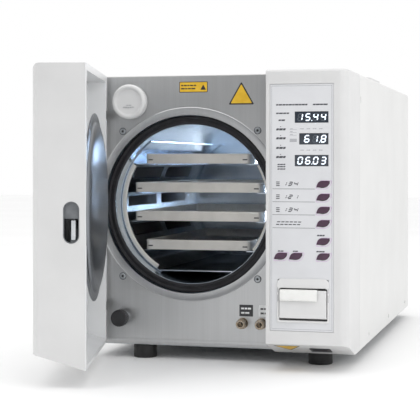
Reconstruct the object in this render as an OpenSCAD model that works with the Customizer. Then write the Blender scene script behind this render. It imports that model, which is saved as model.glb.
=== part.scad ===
// Benchtop steam autoclave with its door open.
// +Z is up and -Y is the front. The origin lies on the bench, at the middle of the four feet.

/* [Casing] */
// Width of the chamber side, from the left face to the control column
bay_w = 291; // [291:1:360]
// Depth from the front of the control column to the rear panel
body_d = 748; // [620:1:900]
// Height of the casing above its feet
body_h = 414; // [400:1:500]
// Thickness of the casing sheet
sheet = 1.5; // [1:0.1:2]
// Radius of the long upper edges of the casing
cover_r = 6; // [3:0.5:12]

/* [Feet] */
// Height of the rubber feet
foot_h = 20; // [16:1:30]
// Largest diameter of a foot
foot_d = 36; // [30:1:44]
// Distance from the right feet to the casing's right face
right_overhang = 57.5; // [45:0.5:70]
// Distance between the front and rear feet
foot_span_y = 546; // [460:1:580]
// How far the casing reaches past the left feet
left_overhang = 77.5; // [50:0.5:90]
// How far the front feet stand behind the front plate
foot_back = 13; // [12:1:40]

/* [Chamber] */
// Inner radius of the pressure chamber
chamber_r = 122; // [100:1:124]
// Inner length of the pressure chamber
chamber_len = 430; // [360:1:480]
// Thickness of the chamber wall
chamber_wall = 3; // [2:0.5:4]
// Distance from the casing's left side to the chamber axis
chamber_side = 152; // [151:1:156]
// Height of the chamber axis above the casing's floor
chamber_up = 217; // [200:1:240]
// Outer radius of the chamber flange
flange_r = 148; // [145:1:149]
// Distance from the front plate to the face of the gasket
gasket_back = 8; // [6:0.5:12]

/* [Trays] */
// Distance between tray levels
tray_pitch = 45; // [42:1:50]
// Width of the two middle trays
tray_wide = 206; // [180:1:208]
// Width of the top and bottom trays
tray_narrow = 170; // [140:1:172]
// Height of a tray's rim
tray_h = 15.5; // [12:0.5:20]
// Length of a tray
tray_len = 360; // [280:1:370]
// Distance from the front plate to the front of the trays
tray_back = 45; // [35:1:60]

/* [Control column] */
// Width of the control column
column_w = 119; // [118:1:130]
// How far the column stands in front of the front plate
column_out = 88; // [84:1:96]
// Wall of the column housing
column_wall = 3; // [2:0.5:4]
// Width of the key panel
panel_w = 92; // [91:0.5:96]
// Height of the key panel
panel_h = 353; // [350:1:360]
// Travel of a key
key_travel = 0.6; // [0.3:0.1:0.8]

/* [Door] */
// Thickness of the door
door_t = 72; // [70:1:80]
// Angle at which the door stands open, from closed
door_open = 76; // [0:1:106]
// Gap between the closed door and the front plate
door_gap = 4; // [3:0.5:6]
// Width of the flat lip round the door's inner pan
door_lip = 9.5; // [9:0.5:11]
// Height that the door's sloping underside climbs to the front
door_rise = 22; // [10:1:30]
// Stroke that presses the closing plate on the gasket
press = 13; // [13:0.5:16]
// Radius of the sealing disc
disc_r = 134; // [128:1:134]

/* [Fits] */
// Radial clearance of a pin or shaft that turns
running = 0.05; // [0.02:0.01:0.1]
// Clearance between pieces that slide past or sit beside each other
slip = 0.3; // [0.3:0.05:0.5]

/* [Hidden] */
$fn = 64;
eps = 0.01;
body_w = bay_w + column_w;
foot_span_x = body_w - left_overhang - right_overhang;
x_left = -foot_span_x / 2 - left_overhang;
x_right = x_left + body_w;
y_plate = -foot_span_y / 2 - foot_back;
y_front = y_plate - column_out;
y_rear = y_front + body_d;
z_floor = foot_h;
z_top = foot_h + body_h;
chamber_x = x_left + chamber_side;
chamber_z = z_floor + chamber_up;
column_x = x_right - column_w;
column_round = 13;
pan_t = 2;
foot_recess_r = 7;
foot_screw_r = 3;
foot_hole_r = 3.3;
nut_seat_r = 7.5;
plate_t = 2;
y_gasket = y_plate + gasket_back;
gasket_t = 4;
gasket_in = chamber_r + 1;
gasket_out = flange_r - 12;
flange_t = 14;
y_flange = y_gasket + gasket_t;
y_chamber_end = y_flange + chamber_len;
vessel_r = chamber_r + chamber_wall;
end_t = 6;
jacket_in = vessel_r + 3;
y_seam = y_plate + 24;

// tray levels count from the bottom, 0 to 3
tray_z0 = chamber_z - 28 - tray_pitch;
tray_sheet = 1.2;
rack_t = 1.5;
rack_r = chamber_r - slip - 0.2;
rack_floor_z = chamber_z - 104;

panel_x = column_x + 6.3;
panel_z = z_floor + 40;
panel_recess = 1;
panel_flange = 3;
y_panel = y_front + panel_recess;
y_panel_back = y_front + column_wall + panel_flange;
key_w = 18.5;
key_tall = 9.8;
key_proud = 0.8;
key_x = panel_x + 77;
key_left_x = panel_x + 15.5;
key_mid_x = panel_x + 37.5;
cycle_z = [panel_z + 210, panel_z + 191.5, panel_z + 173, panel_z + 154.2];
start_z = panel_z + 128.5;
lower_z = panel_z + 107;
lens_h = 16;
lens_x1 = panel_x + 84.5;
lens_pitch = 31;
lens_low_z = panel_z + 235.5;
board_z = panel_z + 85;
board_y = y_panel_back + 9;
board_t = 1.6;
tact_h = 2.2;

print_x0 = panel_x + 10;
print_x1 = panel_x + 86;
print_z0 = panel_z + 12;
print_z1 = panel_z + 75;
print_depth = 50.5;
print_wall = 1.5;
bezel_out = 1.8;
lid_axis_y = y_front + 3.5;
lid_axis_z = print_z0 + 8;
lid_top_z = print_z0 + 46.6;
slot_top_z = print_z0 + 49.5;
lid_side = 4;
platen_y = y_front + 8.5;
platen_z = print_z0 + 39;
platen_r = 4.5;
roll_y = y_front + 31;
roll_z = print_z0 + 28;
roll_r = 16;
spindle_r = 4;

lock_z = chamber_z - 31;
lock_y = y_plate - 30.5;
lock_h = 16;
lock_t = 6;

door_w = bay_w - 2;
door_x1 = x_left + door_w;
y_lip = y_plate - door_gap;
y_door = y_lip - door_t;
door_z0 = z_floor + 4;
door_z1 = z_top - 0.5;
door_wall = 3;
door_round = 9;
pan_depth = 28;
hinge_x = x_left + 7.6;
hinge_y = y_lip - 17;
hinge_pin_r = 4;
hinge_notch_r = 19.3;
lug_half = 5;
hinge_lip = 16.5;
low_lip = 6;
lug_t = 12;
knuckle_h = 14;
lug_z = [z_floor + 60, z_top - 60];
disc_t = 3;
y_disc = y_gasket - 0.5 - press;
stem_r = 12;
stem_l = 20;
pocket_y0 = lock_y - 4;
pocket_y1 = lock_y + 17.5;
pocket_z0 = lock_z - 13;
pocket_z1 = lock_z + 43;
pocket_depth = 30;
strike_x = door_x1 - 8;
strike_y = lock_y + 9.5;
strike_r = 5.5;
strike_pin_r = 1.5;

filter_pos = [chamber_x - 93, z_top - 40];
filter_r = 27;
knob_pos = [chamber_x - 106, z_floor + 42];
knob_r = 13;
coupling_x = [column_x - 55, column_x - 26];
coupling_z = z_floor + 38;
coupling_bore = 4.3;
coupling_out = 5.8;
sleeve_in = coupling_out + running;
sleeve_r = 7.4;
screw_x = 107;
screw_z = 112;

tank_x0 = x_right - 92;
tank_x1 = x_right - 4;
tank_z1 = z_top - 28;
clean_y0 = y_plate + 225;
clean_y1 = clean_y0 + 168;
used_y1 = clean_y1 + 120;
tank_wall = 2.5;
fill_x = x_right - 44;
fill_y = (clean_y0 + clean_y1) / 2;
fill_w = 56;
fill_l = 160;
fill_h = 8;

fan_x = x_right - 52;
fan_z = z_floor + 150;
fan_r = 40;
fan_pin_r = 3;
inlet_x = x_right - 56;
inlet_z = z_floor + 38;
inlet_w = 14;
inlet_h = 12;

switch_run = 65;
switch_rise = 21;
slope_a = atan(switch_rise / switch_run);
switch_x = column_x + 74;
switch_at = 35;
switch_y = y_front + switch_at;
switch_z = z_floor + switch_rise - switch_at * switch_rise / switch_run;
rocker_tilt = 7;

// ---- shapes used by several sub-parts ----

// a box between two corners
module block(a, b) {
    translate(a) cube(b - a);
}

// a cylinder along Y from y0 to y1
module rod_y(x, z, r, y0, y1) {
    translate([x, y0, z]) rotate([-90, 0, 0]) cylinder(r = r, h = y1 - y0);
}

// a cylinder along X from x0 to x1
module rod_x(y, z, r, x0, x1) {
    translate([x0, y, z]) rotate([0, 90, 0]) cylinder(r = r, h = x1 - x0);
}

// a solid of revolution about the line through x, z along Y; points are [radius, y]
module turned_y(x, z, points) {
    translate([x, 0, z]) rotate([-90, 0, 0]) rotate_extrude() polygon(points);
}

// a ring about the line through x, z along Y
module ring_y(x, z, r_in, r_out, y0, y1) {
    turned_y(x, z, [[r_in, y0], [r_out, y0], [r_out, y1], [r_in, y1]]);
}

// an upright prism with a leaf outline: two arcs that meet in points, its long axis tilted
module leaf(x, z, w, h, y0, y1) {
    arc_r = (w * w / 4 + h * h / 4) / h;
    translate([x, 0, z]) rotate([0, -12, 0]) intersection() {
        rod_y(0, h / 2 - arc_r, arc_r, y0, y1);
        rod_y(0, arc_r - h / 2, arc_r, y0, y1);
    }
}

// the door's own pieces are drawn closed and then swung open about the hinge
module on_door() {
    translate([hinge_x, hinge_y, 0]) rotate([0, 0, -door_open])
        translate([-hinge_x, -hinge_y, 0]) children();
}

// ---- casing ----

module base_pan() color("silver") {
    difference() {
        block([x_left + sheet, y_plate + plate_t, z_floor],
              [x_right - sheet, y_rear - sheet, z_floor + pan_t]);
        block([column_x - slip, y_plate, z_floor - 1], [x_right, y_seam, z_floor + pan_t + 1]);
        for (x = [-1, 1], y = [-1, 1])
            translate([x * foot_span_x / 2, y * foot_span_y / 2, z_floor - 1])
                cylinder(r = foot_hole_r, h = 4);
    }
    for (x = [x_left + sheet, x_right - sheet - pan_t])
        block([x, y_seam + 1, z_floor + pan_t], [x + pan_t, y_rear - sheet, z_floor + 25]);
}

module feet() color("black")
    for (x = [-1, 1], y = [-1, 1])
        translate([x * foot_span_x / 2, y * foot_span_y / 2, 0]) difference() {
            rotate_extrude() polygon([[0, 0], [foot_d / 2 - 2, 0], [foot_d / 2, 2],
                                      [foot_d / 2, 9], [foot_d / 2 - 2.5, foot_h], [0, foot_h]]);
            translate([0, 0, -1]) cylinder(r = foot_recess_r, h = 7);
            translate([0, 0, 5]) cylinder(r = 5.6, h = foot_h - 13);
            cylinder(r = foot_hole_r, h = foot_h + 1);
        }

module screws() color("gray") {
    for (x = [-1, 1], y = [-1, 1])
        translate([x * foot_span_x / 2, y * foot_span_y / 2, foot_h - 11.7]) {
            cylinder(r = 5, h = 3.7);
            cylinder(r = foot_screw_r, h = 18);
            translate([0, 0, 11.7 + pan_t]) cylinder(r = 5.5, h = 4);
        }
    for (x = [-1, 1], z = [-1, 1])
        turned_y(chamber_x + x * screw_x, chamber_z + z * screw_z,
                 [[0, y_plate - 1.2], [2, y_plate - 1.2], [4.4, y_plate], [3, y_plate],
                  [3, y_flange], [0, y_flange]]);
}

// the wrap's outline: flat sides and rounded upper edges
module wrap(x0, x1, z1, r, y0, y1) {
    block([x0, y0, z_floor], [x1, y1, z1 - r]);
    block([x0 + r, y0, z_floor], [x1 - r, y1, z1]);
    for (x = [x0 + r, x1 - r]) rod_y(x, z1 - r, r, y0, y1);
}

module outer_cover() color("white") difference() {
    wrap(x_left, x_right, z_top, cover_r, y_plate, y_rear);
    wrap(x_left + sheet, x_right - sheet, z_top - sheet, cover_r - sheet, y_plate - 1, y_rear + 1);
    block([x_left + sheet, y_plate - 1, z_floor - 1], [x_right - sheet, y_rear + 1, z_floor + 1]);
    block([column_x, y_plate - 1, z_floor - 1], [x_right + 1, y_seam, z_top + 1]);
    fill_hole(z_top - 5, z_top + 1, slip);
    block([x_right - 3, y_seam + 8, z_top - 44], [x_right + 1, y_seam + 11.5, z_top - 34]);
}

module fill_hole(z0, z1, more) {
    r = fill_w / 2 - 5 + more;
    for (y = [-1, 1])
        translate([fill_x, fill_y + y * (fill_l - fill_w) / 2, z0]) cylinder(r = r, h = z1 - z0);
    block([fill_x - r, fill_y - (fill_l - fill_w) / 2, z0],
          [fill_x + r, fill_y + (fill_l - fill_w) / 2, z1]);
}

module rear_panel() color("white") difference() {
    wrap(x_left + sheet, x_right - sheet, z_top - sheet, cover_r - sheet, y_rear - sheet, y_rear);
    rod_y(fan_x, fan_z, fan_r + 3, y_rear - 3, y_rear + 1);
    block([inlet_x - inlet_w - slip, y_rear - 3, inlet_z - inlet_h - slip],
          [inlet_x + inlet_w + slip, y_rear + 1, inlet_z + inlet_h + slip]);
    // air slots
    for (i = [0 : 7])
        block([chamber_x - 60, y_rear - 3, z_top - 120 + i * 10],
              [chamber_x + 60, y_rear + 1, z_top - 116 + i * 10]);
}

module front_plate() color("lightgray") intersection() {
    difference() {
        union() {
            wrap(x_left + sheet, x_right - sheet, z_top - sheet, cover_r - sheet, y_plate, y_plate + plate_t);
            // the pressed ring round the chamber mouth
            turned_y(chamber_x, chamber_z,
                     [[flange_r - 1.5, y_plate + 0.5], [flange_r - 1.5, y_plate],
                      [flange_r - 0.5, y_plate - 0.6], [flange_r + 0.5, y_plate],
                      [flange_r + 0.5, y_plate + 0.5]]);
        }
        rod_y(chamber_x, chamber_z, gasket_out + 0.5, y_plate - 1, y_plate + plate_t + 1);
        rod_y(filter_pos.x, filter_pos.y, 12, y_plate - 1, y_plate + plate_t + 1);
        rod_y(knob_pos.x, knob_pos.y, 6.2, y_plate - 1, y_plate + plate_t + 1);
        for (x = coupling_x)
            rod_y(x, coupling_z, coupling_out + 0.2, y_plate - 1, y_plate + plate_t + 1);
        for (x = [-1, 1], z = [-1, 1])
            rod_y(chamber_x + x * screw_x, chamber_z + z * screw_z, 3.2,
                  y_plate - 1, y_plate + plate_t + 1);
    }
    block([x_left, y_plate - 1, z_floor + sheet], [column_x - slip, y_plate + plate_t, z_top]);
}

// ---- chamber ----

// a tube with a welded end plate
module chamber_vessel() color("silver")
    turned_y(chamber_x, chamber_z,
             [[chamber_r, y_flange + flange_t], [vessel_r, y_flange + flange_t],
              [vessel_r, y_chamber_end + end_t], [0, y_chamber_end + end_t],
              [0, y_chamber_end], [chamber_r, y_chamber_end]]);

// the turned ring at the chamber's mouth, with the seat of the gasket
module chamber_flange() color("silver")
    turned_y(chamber_x, chamber_z,
             [[chamber_r, y_flange - 1.5], [gasket_in - slip, y_flange - 1.5],
              [gasket_in - slip, y_flange], [flange_r, y_flange],
              [flange_r, y_flange + flange_t], [chamber_r, y_flange + flange_t]]);

module door_gasket() color("black")
    turned_y(chamber_x, chamber_z,
             [[gasket_in, y_flange], [gasket_in, y_gasket + 0.8], [gasket_in + 1, y_gasket],
              [gasket_in + 5, y_gasket], [gasket_in + 6, y_gasket + 1.2], [gasket_out - 3, y_gasket + 1.2],
              [gasket_out - 2, y_gasket + 0.4], [gasket_out, y_gasket + 0.4], [gasket_out, y_flange]]);

module heater_bands() color("dimgray")
    for (i = [0 : 2])
        ring_y(chamber_x, chamber_z, vessel_r + 0.05, vessel_r + 2.4,
               y_flange + 60 + i * 130, y_flange + 120 + i * 130);

module insulation_jacket() color("khaki")
    ring_y(chamber_x, chamber_z, jacket_in, flange_r, y_flange + flange_t + slip, y_chamber_end - 4);

module chamber_saddles() color("gray")
    for (y = [y_flange + 90, y_chamber_end - 80]) difference() {
        block([chamber_x - 68, y, z_floor + pan_t], [chamber_x + 68, y + 20, chamber_z - flange_r + 17]);
        rod_y(chamber_x, chamber_z, flange_r + slip, y - 1, y + 21);
        block([chamber_x - 55, y - 1, z_floor + pan_t + 12],
              [chamber_x + 55, y + 21, chamber_z - flange_r - 12]);
    }

// ---- trays and their rack ----

function tray_width(i) = (i == 1 || i == 2) ? tray_wide : tray_narrow;
function tray_bottom(i) = tray_z0 + i * tray_pitch;

module tray(i) {
    w = tray_width(i);
    z = tray_bottom(i);
    y = y_plate + tray_back;
    difference() {
        block([chamber_x - w / 2, y, z], [chamber_x + w / 2, y + tray_len, z + tray_h]);
        block([chamber_x - w / 2 + tray_sheet, y + tray_sheet, z + tray_sheet],
              [chamber_x + w / 2 - tray_sheet, y + tray_len - tray_sheet, z + tray_h + 1]);
    }
}

module tray_1() color("tan") tray(3);
module tray_2() color("tan") tray(2);
module tray_3() color("tan") tray(1);
module tray_4() color("tan") tray(0);

// half the chord of the rack's inner circle at height z
function rack_chord(z) = sqrt(pow(rack_r - rack_t, 2) - pow(z - chamber_z, 2));

module rack_ledge(i, s) {
    z = tray_bottom(i) - slip;
    inner = tray_width(i) / 2 - 7;
    outer = rack_chord(z - rack_t) + 0.4;
    x0 = s > 0 ? chamber_x + inner : chamber_x - outer;
    block([x0, y_plate + tray_back + 2, z - rack_t],
          [x0 + outer - inner, y_plate + tray_back + tray_len, z]);
}

module tray_rack() color("silver") {
    y0 = y_plate + tray_back - 8;
    y1 = y_plate + tray_back + tray_len + 4;
    difference() {
        ring_y(chamber_x, chamber_z, rack_r - rack_t, rack_r, y0, y1);
        block([chamber_x - 72, y0 - 1, chamber_z], [chamber_x + 72, y1 + 1, chamber_z + 130]);
        block([chamber_x - 56, y0 - 1, chamber_z - 130], [chamber_x + 56, y1 + 1, chamber_z]);
        // windows between the tray levels, two along the depth
        for (s = [-1, 1], i = [0 : 2], k = [0, 1])
            translate([chamber_x + s * 100, y0 + 30 + k * 175, tray_bottom(i) + 21])
                block([-26, 0, 0], [26, 150, 18]);
    }
    for (i = [0 : 3], s = [-1, 1]) rack_ledge(i, s);
    block([chamber_x - 58, y0, rack_floor_z - rack_t], [chamber_x + 58, y1, rack_floor_z]);
}

// ---- control column ----

// the column's outer form: a box with a rounded front corner and a sloping underside
module column_form(in, y1) {
    r = column_round - in;
    intersection() {
        union() {
            block([column_x + in, y_front + in, z_floor + in], [x_right - in - r, y1, z_top - in]);
            block([x_right - in - r - 1, y_front + in + r, z_floor + in], [x_right - in, y1, z_top - in]);
            translate([x_right - in - r, y_front + in + r, z_floor + in])
                cylinder(r = r, h = body_h - 2 * in);
        }
        translate([column_x, 0, 0]) rotate([90, 0, 90]) linear_extrude(column_w + 1)
            polygon([[y_front, z_floor + switch_rise + in * 1.3], [y_front + switch_run + in, z_floor + in],
                     [y1, z_floor + in], [y1, z_top - in - 5], [y1, z_top], [y_front, z_top]]);
    }
}

module column_housing() color("white") difference() {
    column_form(0, y_seam - slip);
    column_form(column_wall, y_seam + 1);
    // opening of the key panel
    block([panel_x - slip, y_front - 1, panel_z - slip],
          [panel_x + panel_w + slip, y_front + column_wall + 1, panel_z + panel_h + slip]);
    // mouth of the lock bolt
    block([column_x - 1, lock_y - lock_t / 2 - slip, lock_z - lock_h / 2 - slip],
          [column_x + column_wall + 1, lock_y + lock_t / 2 + slip, lock_z + lock_h / 2 + slip]);
    // room behind for the front plate, and for the flange and its jacket
    block([column_x - 1, y_plate - slip, z_floor + column_wall],
          [column_x + column_wall + 1, y_seam + 1, z_top - column_wall]);
    // seat of the front foot's nut
    translate([foot_span_x / 2, -foot_span_y / 2, z_floor - 1]) cylinder(r = foot_hole_r, h = 9);
    translate([foot_span_x / 2, -foot_span_y / 2, z_floor + pan_t]) cylinder(r = nut_seat_r, h = 9);
    // seat of the mains switch
    on_slope() block([-13 - slip, -9 - slip, -12], [13 + slip, 9 + slip, 12]);
}

module on_slope() {
    translate([switch_x, switch_y, switch_z]) rotate([-slope_a, 0, 0]) children();
}

module key_hole(x, z) {
    leaf(x, z, key_w + 1.2, key_tall + 0.8, y_panel - 1, y_panel_back + 1);
}

module control_panel() color("gainsboro") difference() {
    union() {
        block([panel_x, y_panel, panel_z], [panel_x + panel_w, y_front + column_wall, panel_z + panel_h]);
        block([panel_x - 2.5, y_front + column_wall, panel_z - 2.5],
              [panel_x + panel_w + 2.5, y_panel_back, panel_z + panel_h + 2.5]);
    }
    for (z = cycle_z) key_hole(key_x, z);
    key_hole(key_x, start_z);
    for (x = [key_x, key_left_x, key_mid_x]) key_hole(x, lower_z);
    for (i = [0 : 2])
        block([lens_x0(i) - 0.1, y_panel - 1, lens_z(i) - 0.1],
              [lens_x1 + 0.1, y_panel_back + 1, lens_z(i) + lens_h + 0.1]);
    block([print_x0 + 1.5 - slip, y_panel - 1, print_z0 + 1.5 - slip],
          [print_x1 - 1.5 + slip, y_panel_back + 1, print_z1 - 1.5 + slip]);
}

function lens_x0(i) = i == 1 ? panel_x + 42.5 : panel_x + 36;
function lens_z(i) = lens_low_z + (2 - i) * lens_pitch;

module display_lenses() color("darkslategray")
    for (i = [0 : 2])
        block([lens_x0(i), y_panel + 0.2, lens_z(i)], [lens_x1, y_panel + 2.2, lens_z(i) + lens_h]);

module control_board() color("seagreen") {
    block([panel_x, board_y, board_z], [panel_x + panel_w, board_y + board_t, panel_z + panel_h]);
    // digit blocks behind the lenses
    for (i = [0 : 2])
        block([lens_x0(i) + 0.5, y_panel + 2.6, lens_z(i) + 0.5],
              [lens_x1 - 0.5, board_y, lens_z(i) + lens_h - 0.5]);
    // standoffs
    for (x = [5, panel_w - 5], z = [board_z + 5, board_z + 140, panel_z + panel_h - 6])
        rod_y(panel_x + x, z, 3, y_panel_back, board_y);
    for (z = cycle_z) tact_switch(key_x, z);
    tact_switch(key_x, start_z);
    for (x = [key_x, key_left_x, key_mid_x]) tact_switch(x, lower_z);
}

module tact_switch(x, z) {
    rod_y(x, z, 3, board_y - tact_h, board_y);
}

module key(x, z) color("purple") {
    leaf(x, z, key_w, key_tall, y_panel - key_proud, y_panel_back + 0.5);
    leaf(x, z, key_w + 3.5, key_tall + 2.5, y_panel_back + slip, y_panel_back + slip + 1.2);
    rod_y(x, z, 2, y_panel_back + slip + 1, board_y - tact_h - key_travel - slip);
}

module key_cycle_1() key(key_x, cycle_z[0]);
module key_cycle_2() key(key_x, cycle_z[1]);
module key_cycle_3() key(key_x, cycle_z[2]);
module key_cycle_4() key(key_x, cycle_z[3]);
module key_start() key(key_x, start_z);
module key_power() key(key_x, lower_z);
module key_print() key(key_left_x, lower_z);
module key_set() key(key_mid_x, lower_z);

// ---- printer ----

module printer_frame() color("whitesmoke") {
    difference() {
        union() {
            block([print_x0, y_panel - bezel_out, print_z0], [print_x1, y_panel, print_z1]);
            block([print_x0 + 1.5, y_panel, print_z0 + 1.5],
                  [print_x1 - 1.5, y_front + print_depth, print_z1 - 1.5]);
        }
        // mouth that the lid closes, with the paper slot above it
        block([print_x0 + 3, y_panel - 3, print_z0 + 3], [print_x1 - 3, y_front + 8, slot_top_z]);
        // bay of the paper roll
        block([print_x0 + 3, y_front + 4, print_z0 + 3],
              [print_x1 - 3, y_front + print_depth - print_wall, print_z1 - 3]);
        rod_x(lid_axis_y, lid_axis_z, 1.5 + running, print_x0 + 1.5 - 1, print_x1);
    }
    rod_x(roll_y, roll_z, spindle_r, print_x0 + 2, print_x1 - 2);
}

module printer_lid() color("whitesmoke") {
    x0 = print_x0 + lid_side;
    x1 = print_x1 - lid_side;
    y0 = y_panel - bezel_out - 0.6;
    block([x0, y0, lid_axis_z - 1], [x1, y0 + 2, lid_top_z]);
    // hinge barrel and the pins at its ends
    rod_x(lid_axis_y, lid_axis_z, 2.4, x0, x1);
    block([x0, y0 + 1, lid_axis_z - 1], [x1, lid_axis_y, lid_axis_z + 1]);
    rod_x(lid_axis_y, lid_axis_z, 1.5, print_x0 + 2, print_x1 - 2);
    // ears that carry the platen
    for (x = [x0 + 0.5, x1 - 2.5]) difference() {
        block([x, y0 + 1, platen_z - 4.5], [x + 2, platen_y + 3.5, platen_z + 3.5]);
        rod_x(platen_y, platen_z, 1.5 + running, x - 1, x + 3);
    }
}

module platen_roller() color("dimgray") {
    x0 = print_x0 + lid_side;
    x1 = print_x1 - lid_side;
    rod_x(platen_y, platen_z, 1.5, x0 + 0.5, x1 - 0.5);
    rod_x(platen_y, platen_z, platen_r, x0 + 5, x1 - 5);
}

module paper_roll() color("white") difference() {
    rod_x(roll_y, roll_z, roll_r, print_x0 + 9, print_x1 - 9);
    rod_x(roll_y, roll_z, spindle_r + running, print_x0, print_x1);
}

// a tongue of paper that leaves the slot and curls down over the lid
module paper_strip() color("white") {
    bend_r = 4;
    t = 0.3;
    y0 = y_panel - bezel_out - 0.9;
    z0 = lid_top_z + 0.5;
    block([print_x0 + 5, y0, z0], [print_x0 + 59, platen_y - 3, z0 + t]);
    intersection() {
        difference() {
            rod_x(y0, z0 + t - bend_r, bend_r, print_x0 + 5, print_x0 + 59);
            rod_x(y0, z0 + t - bend_r, bend_r - t, print_x0 + 4, print_x0 + 60);
        }
        block([print_x0, y0 - bend_r - 1, z0 + t - bend_r], [print_x1, y0 + 0.2, z0 + t + 1]);
    }
    block([print_x0 + 5, y0 - bend_r, z0 - bend_r - 12],
          [print_x0 + 59, y0 - bend_r + t, z0 + t - bend_r + eps]);
}

// ---- mains switch ----

module switch_body() color("black") on_slope() difference() {
    union() {
        block([-15, -11, -1.4], [15, 11, -0.05]);
        block([-13, -9, -1.4], [13, 9, 16]);
    }
    block([-11, -7.5, -2], [11, 7.5, 5.5]);
    for (x = [-14, 11 - eps]) rod_x(0, 2.2, 1 + running, x, x + 3);
}

module rocker() color("dimgray") on_slope() translate([0, 0, 2.2]) rotate([rocker_tilt, 0, 0]) {
    rotate([90, 0, 90]) translate([0, 0, -10.6]) linear_extrude(21.2)
        polygon([[-6.4, 1], [-6.4, -4.4], [0, -3.4], [6.4, -4.4], [6.4, 1], [0, 2]]);
    rod_x(0, 0, 1, -12, 12);
}

// ---- door lock ----

module lock_bolt() color("silver") {
    block([column_x + 0.5, lock_y - lock_t / 2, lock_z - lock_h / 2],
          [column_x + 60, lock_y + lock_t / 2, lock_z + lock_h / 2]);
}

module lock_actuator() color("dimgray") {
    difference() {
        block([column_x + column_wall, lock_y - 11, lock_z - 16], [column_x + 98, lock_y + 11, lock_z + 16]);
        block([column_x, lock_y - lock_t / 2 - slip, lock_z - lock_h / 2 - slip],
              [column_x + 62, lock_y + lock_t / 2 + slip, lock_z + lock_h / 2 + slip]);
        block([column_x + 66, lock_y - 12, lock_z - 17], [column_x + 99, lock_y + 1, lock_z + 17]);
    }
    rod_y(column_x + 82, lock_z, 11, lock_y + 11, lock_y + 40);
}

// ---- door ----

// the door's outer form, with its four front edges rounded
module door_form(in) {
    intersection() {
        edge_form(x_left + in, door_x1 - in, door_z0 + in, door_z1 - in, in);
        side_form(x_left + in, door_x1 - in, door_z0 + in, door_z1 - in, in);
        under_form(x_left, door_x1, door_z0 + in * 1.05, door_z1, y_door);
    }
}

// all above a plane that climbs from the door's lip to its front
module under_form(x0, x1, z0, z1, y0) {
    fall = door_rise / door_t;
    translate([x0, 0, 0]) rotate([90, 0, 90]) linear_extrude(x1 - x0)
        polygon([[y0, z0 + (y_lip - y0) * fall], [y_lip + 5, z0 - 5 * fall], [y_lip + 5, z1], [y0, z1]]);
}

module edge_form(x0, x1, z0, z1, in) {
    y0 = y_door + in;
    r = door_round - in;
    block([x0, y0 + r, z0], [x1, y_lip + in, z1]);
    block([x0 + r, y0, z0], [x1 - r, y0 + r + eps, z1]);
    for (x = [x0 + r, x1 - r]) translate([x, y0 + r, z0]) cylinder(r = r, h = z1 - z0);
}

module side_form(x0, x1, z0, z1, in) {
    y0 = y_door + in;
    r = door_round - in;
    block([x0, y0 + r, z0], [x1, y_lip + in, z1]);
    block([x0, y0, z0 + r], [x1, y0 + r + eps, z1 - r]);
    for (z = [z0 + r, z1 - r]) rod_x(y0 + r, z, r, x0, x1);
}

// room for each hinge lug to turn in, cut from the door's rear corner
module lug_notches(more) {
    for (z = lug_z)
        intersection() {
            translate([hinge_x, hinge_y, z - lug_t / 2 - more])
                cylinder(r = hinge_notch_r, h = lug_t + 2 * more);
            block([x_left - 1, y_door, z - lug_t], [hinge_x + lug_half + 1, y_lip + 1, z + lug_t]);
        }
}

module door_shell() color("white") on_door() difference() {
    door_form(0);
    door_form(door_wall);
    block([x_left - 1, y_lip - sheet, door_z0 - 1], [door_x1 + 1, y_lip + 20, door_z1 + 1]);
    lug_notches(1);
    pocket_mouth(door_x1 - 5, door_x1 + 1);
}

// the round-ended opening in the door's free edge
module pocket_mouth(x0, x1) {
    r = (pocket_y1 - pocket_y0) / 2;
    hull() for (z = [pocket_z0 + r, pocket_z1 - r]) rod_x(pocket_y0 + r, z, r, x0, x1);
}

module door_liner() color("lightgray") on_door() {
    x0 = x_left + hinge_lip;
    x1 = door_x1 - door_lip;
    z0 = door_z0 + low_lip;
    z1 = door_z1 - door_lip;
    y0 = y_lip - pan_depth;
    difference() {
        union() {
            block([x_left, y_lip - sheet, door_z0 + 0.5], [door_x1, y_lip, door_z1]);
            intersection() {
                block([x0 - sheet, y0 - sheet, z0 - sheet], [x1 + sheet, y_lip - sheet, z1 + sheet]);
                under_form(x0 - sheet, x1 + sheet, z0 - sheet, z1 + sheet, y0 - sheet);
            }
        }
        intersection() {
            block([x0, y0, z0 - 5], [x1, y_lip + 1, z1]);
            under_form(x0, x1, z0, z1, y0);
        }
        rod_y(chamber_x, chamber_z, disc_r + 1.5, y_disc - disc_t - 1, y_lip + 1);
        lug_notches(1);
        // the pan steps back round the strike pocket
        block([door_x1 - pocket_depth - 3, y_lip - pan_depth - 3, pocket_z0 - 3],
              [x1 + 3, y_lip + 1, pocket_z1 + 3]);
    }
}

module closing_plate() color("silver") on_door()
    turned_y(chamber_x, chamber_z,
             [[0, y_disc - disc_t - stem_l], [stem_r, y_disc - disc_t - stem_l], [stem_r, y_disc - disc_t],
              [disc_r, y_disc - disc_t], [disc_r, y_disc], [disc_r - 12, y_disc], [disc_r - 13.5, y_disc + 3],
              [disc_r - 22, y_disc + 6], [disc_r - 39, y_disc + 9], [disc_r - 64, y_disc + 11.3],
              [disc_r - 94, y_disc + 12.7], [0, y_disc + 13.2]]);

module plate_mount() color("gray") on_door()
    turned_y(chamber_x, chamber_z,
             [[0, y_lip - pan_depth], [45, y_lip - pan_depth], [45, y_lip - pan_depth + 4],
              [24, y_lip - pan_depth + 8], [24, y_disc - disc_t - slip],
              [stem_r + slip, y_disc - disc_t - slip], [stem_r + slip, y_disc - disc_t - stem_l - 1],
              [0, y_disc - disc_t - stem_l - 1]]);

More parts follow.
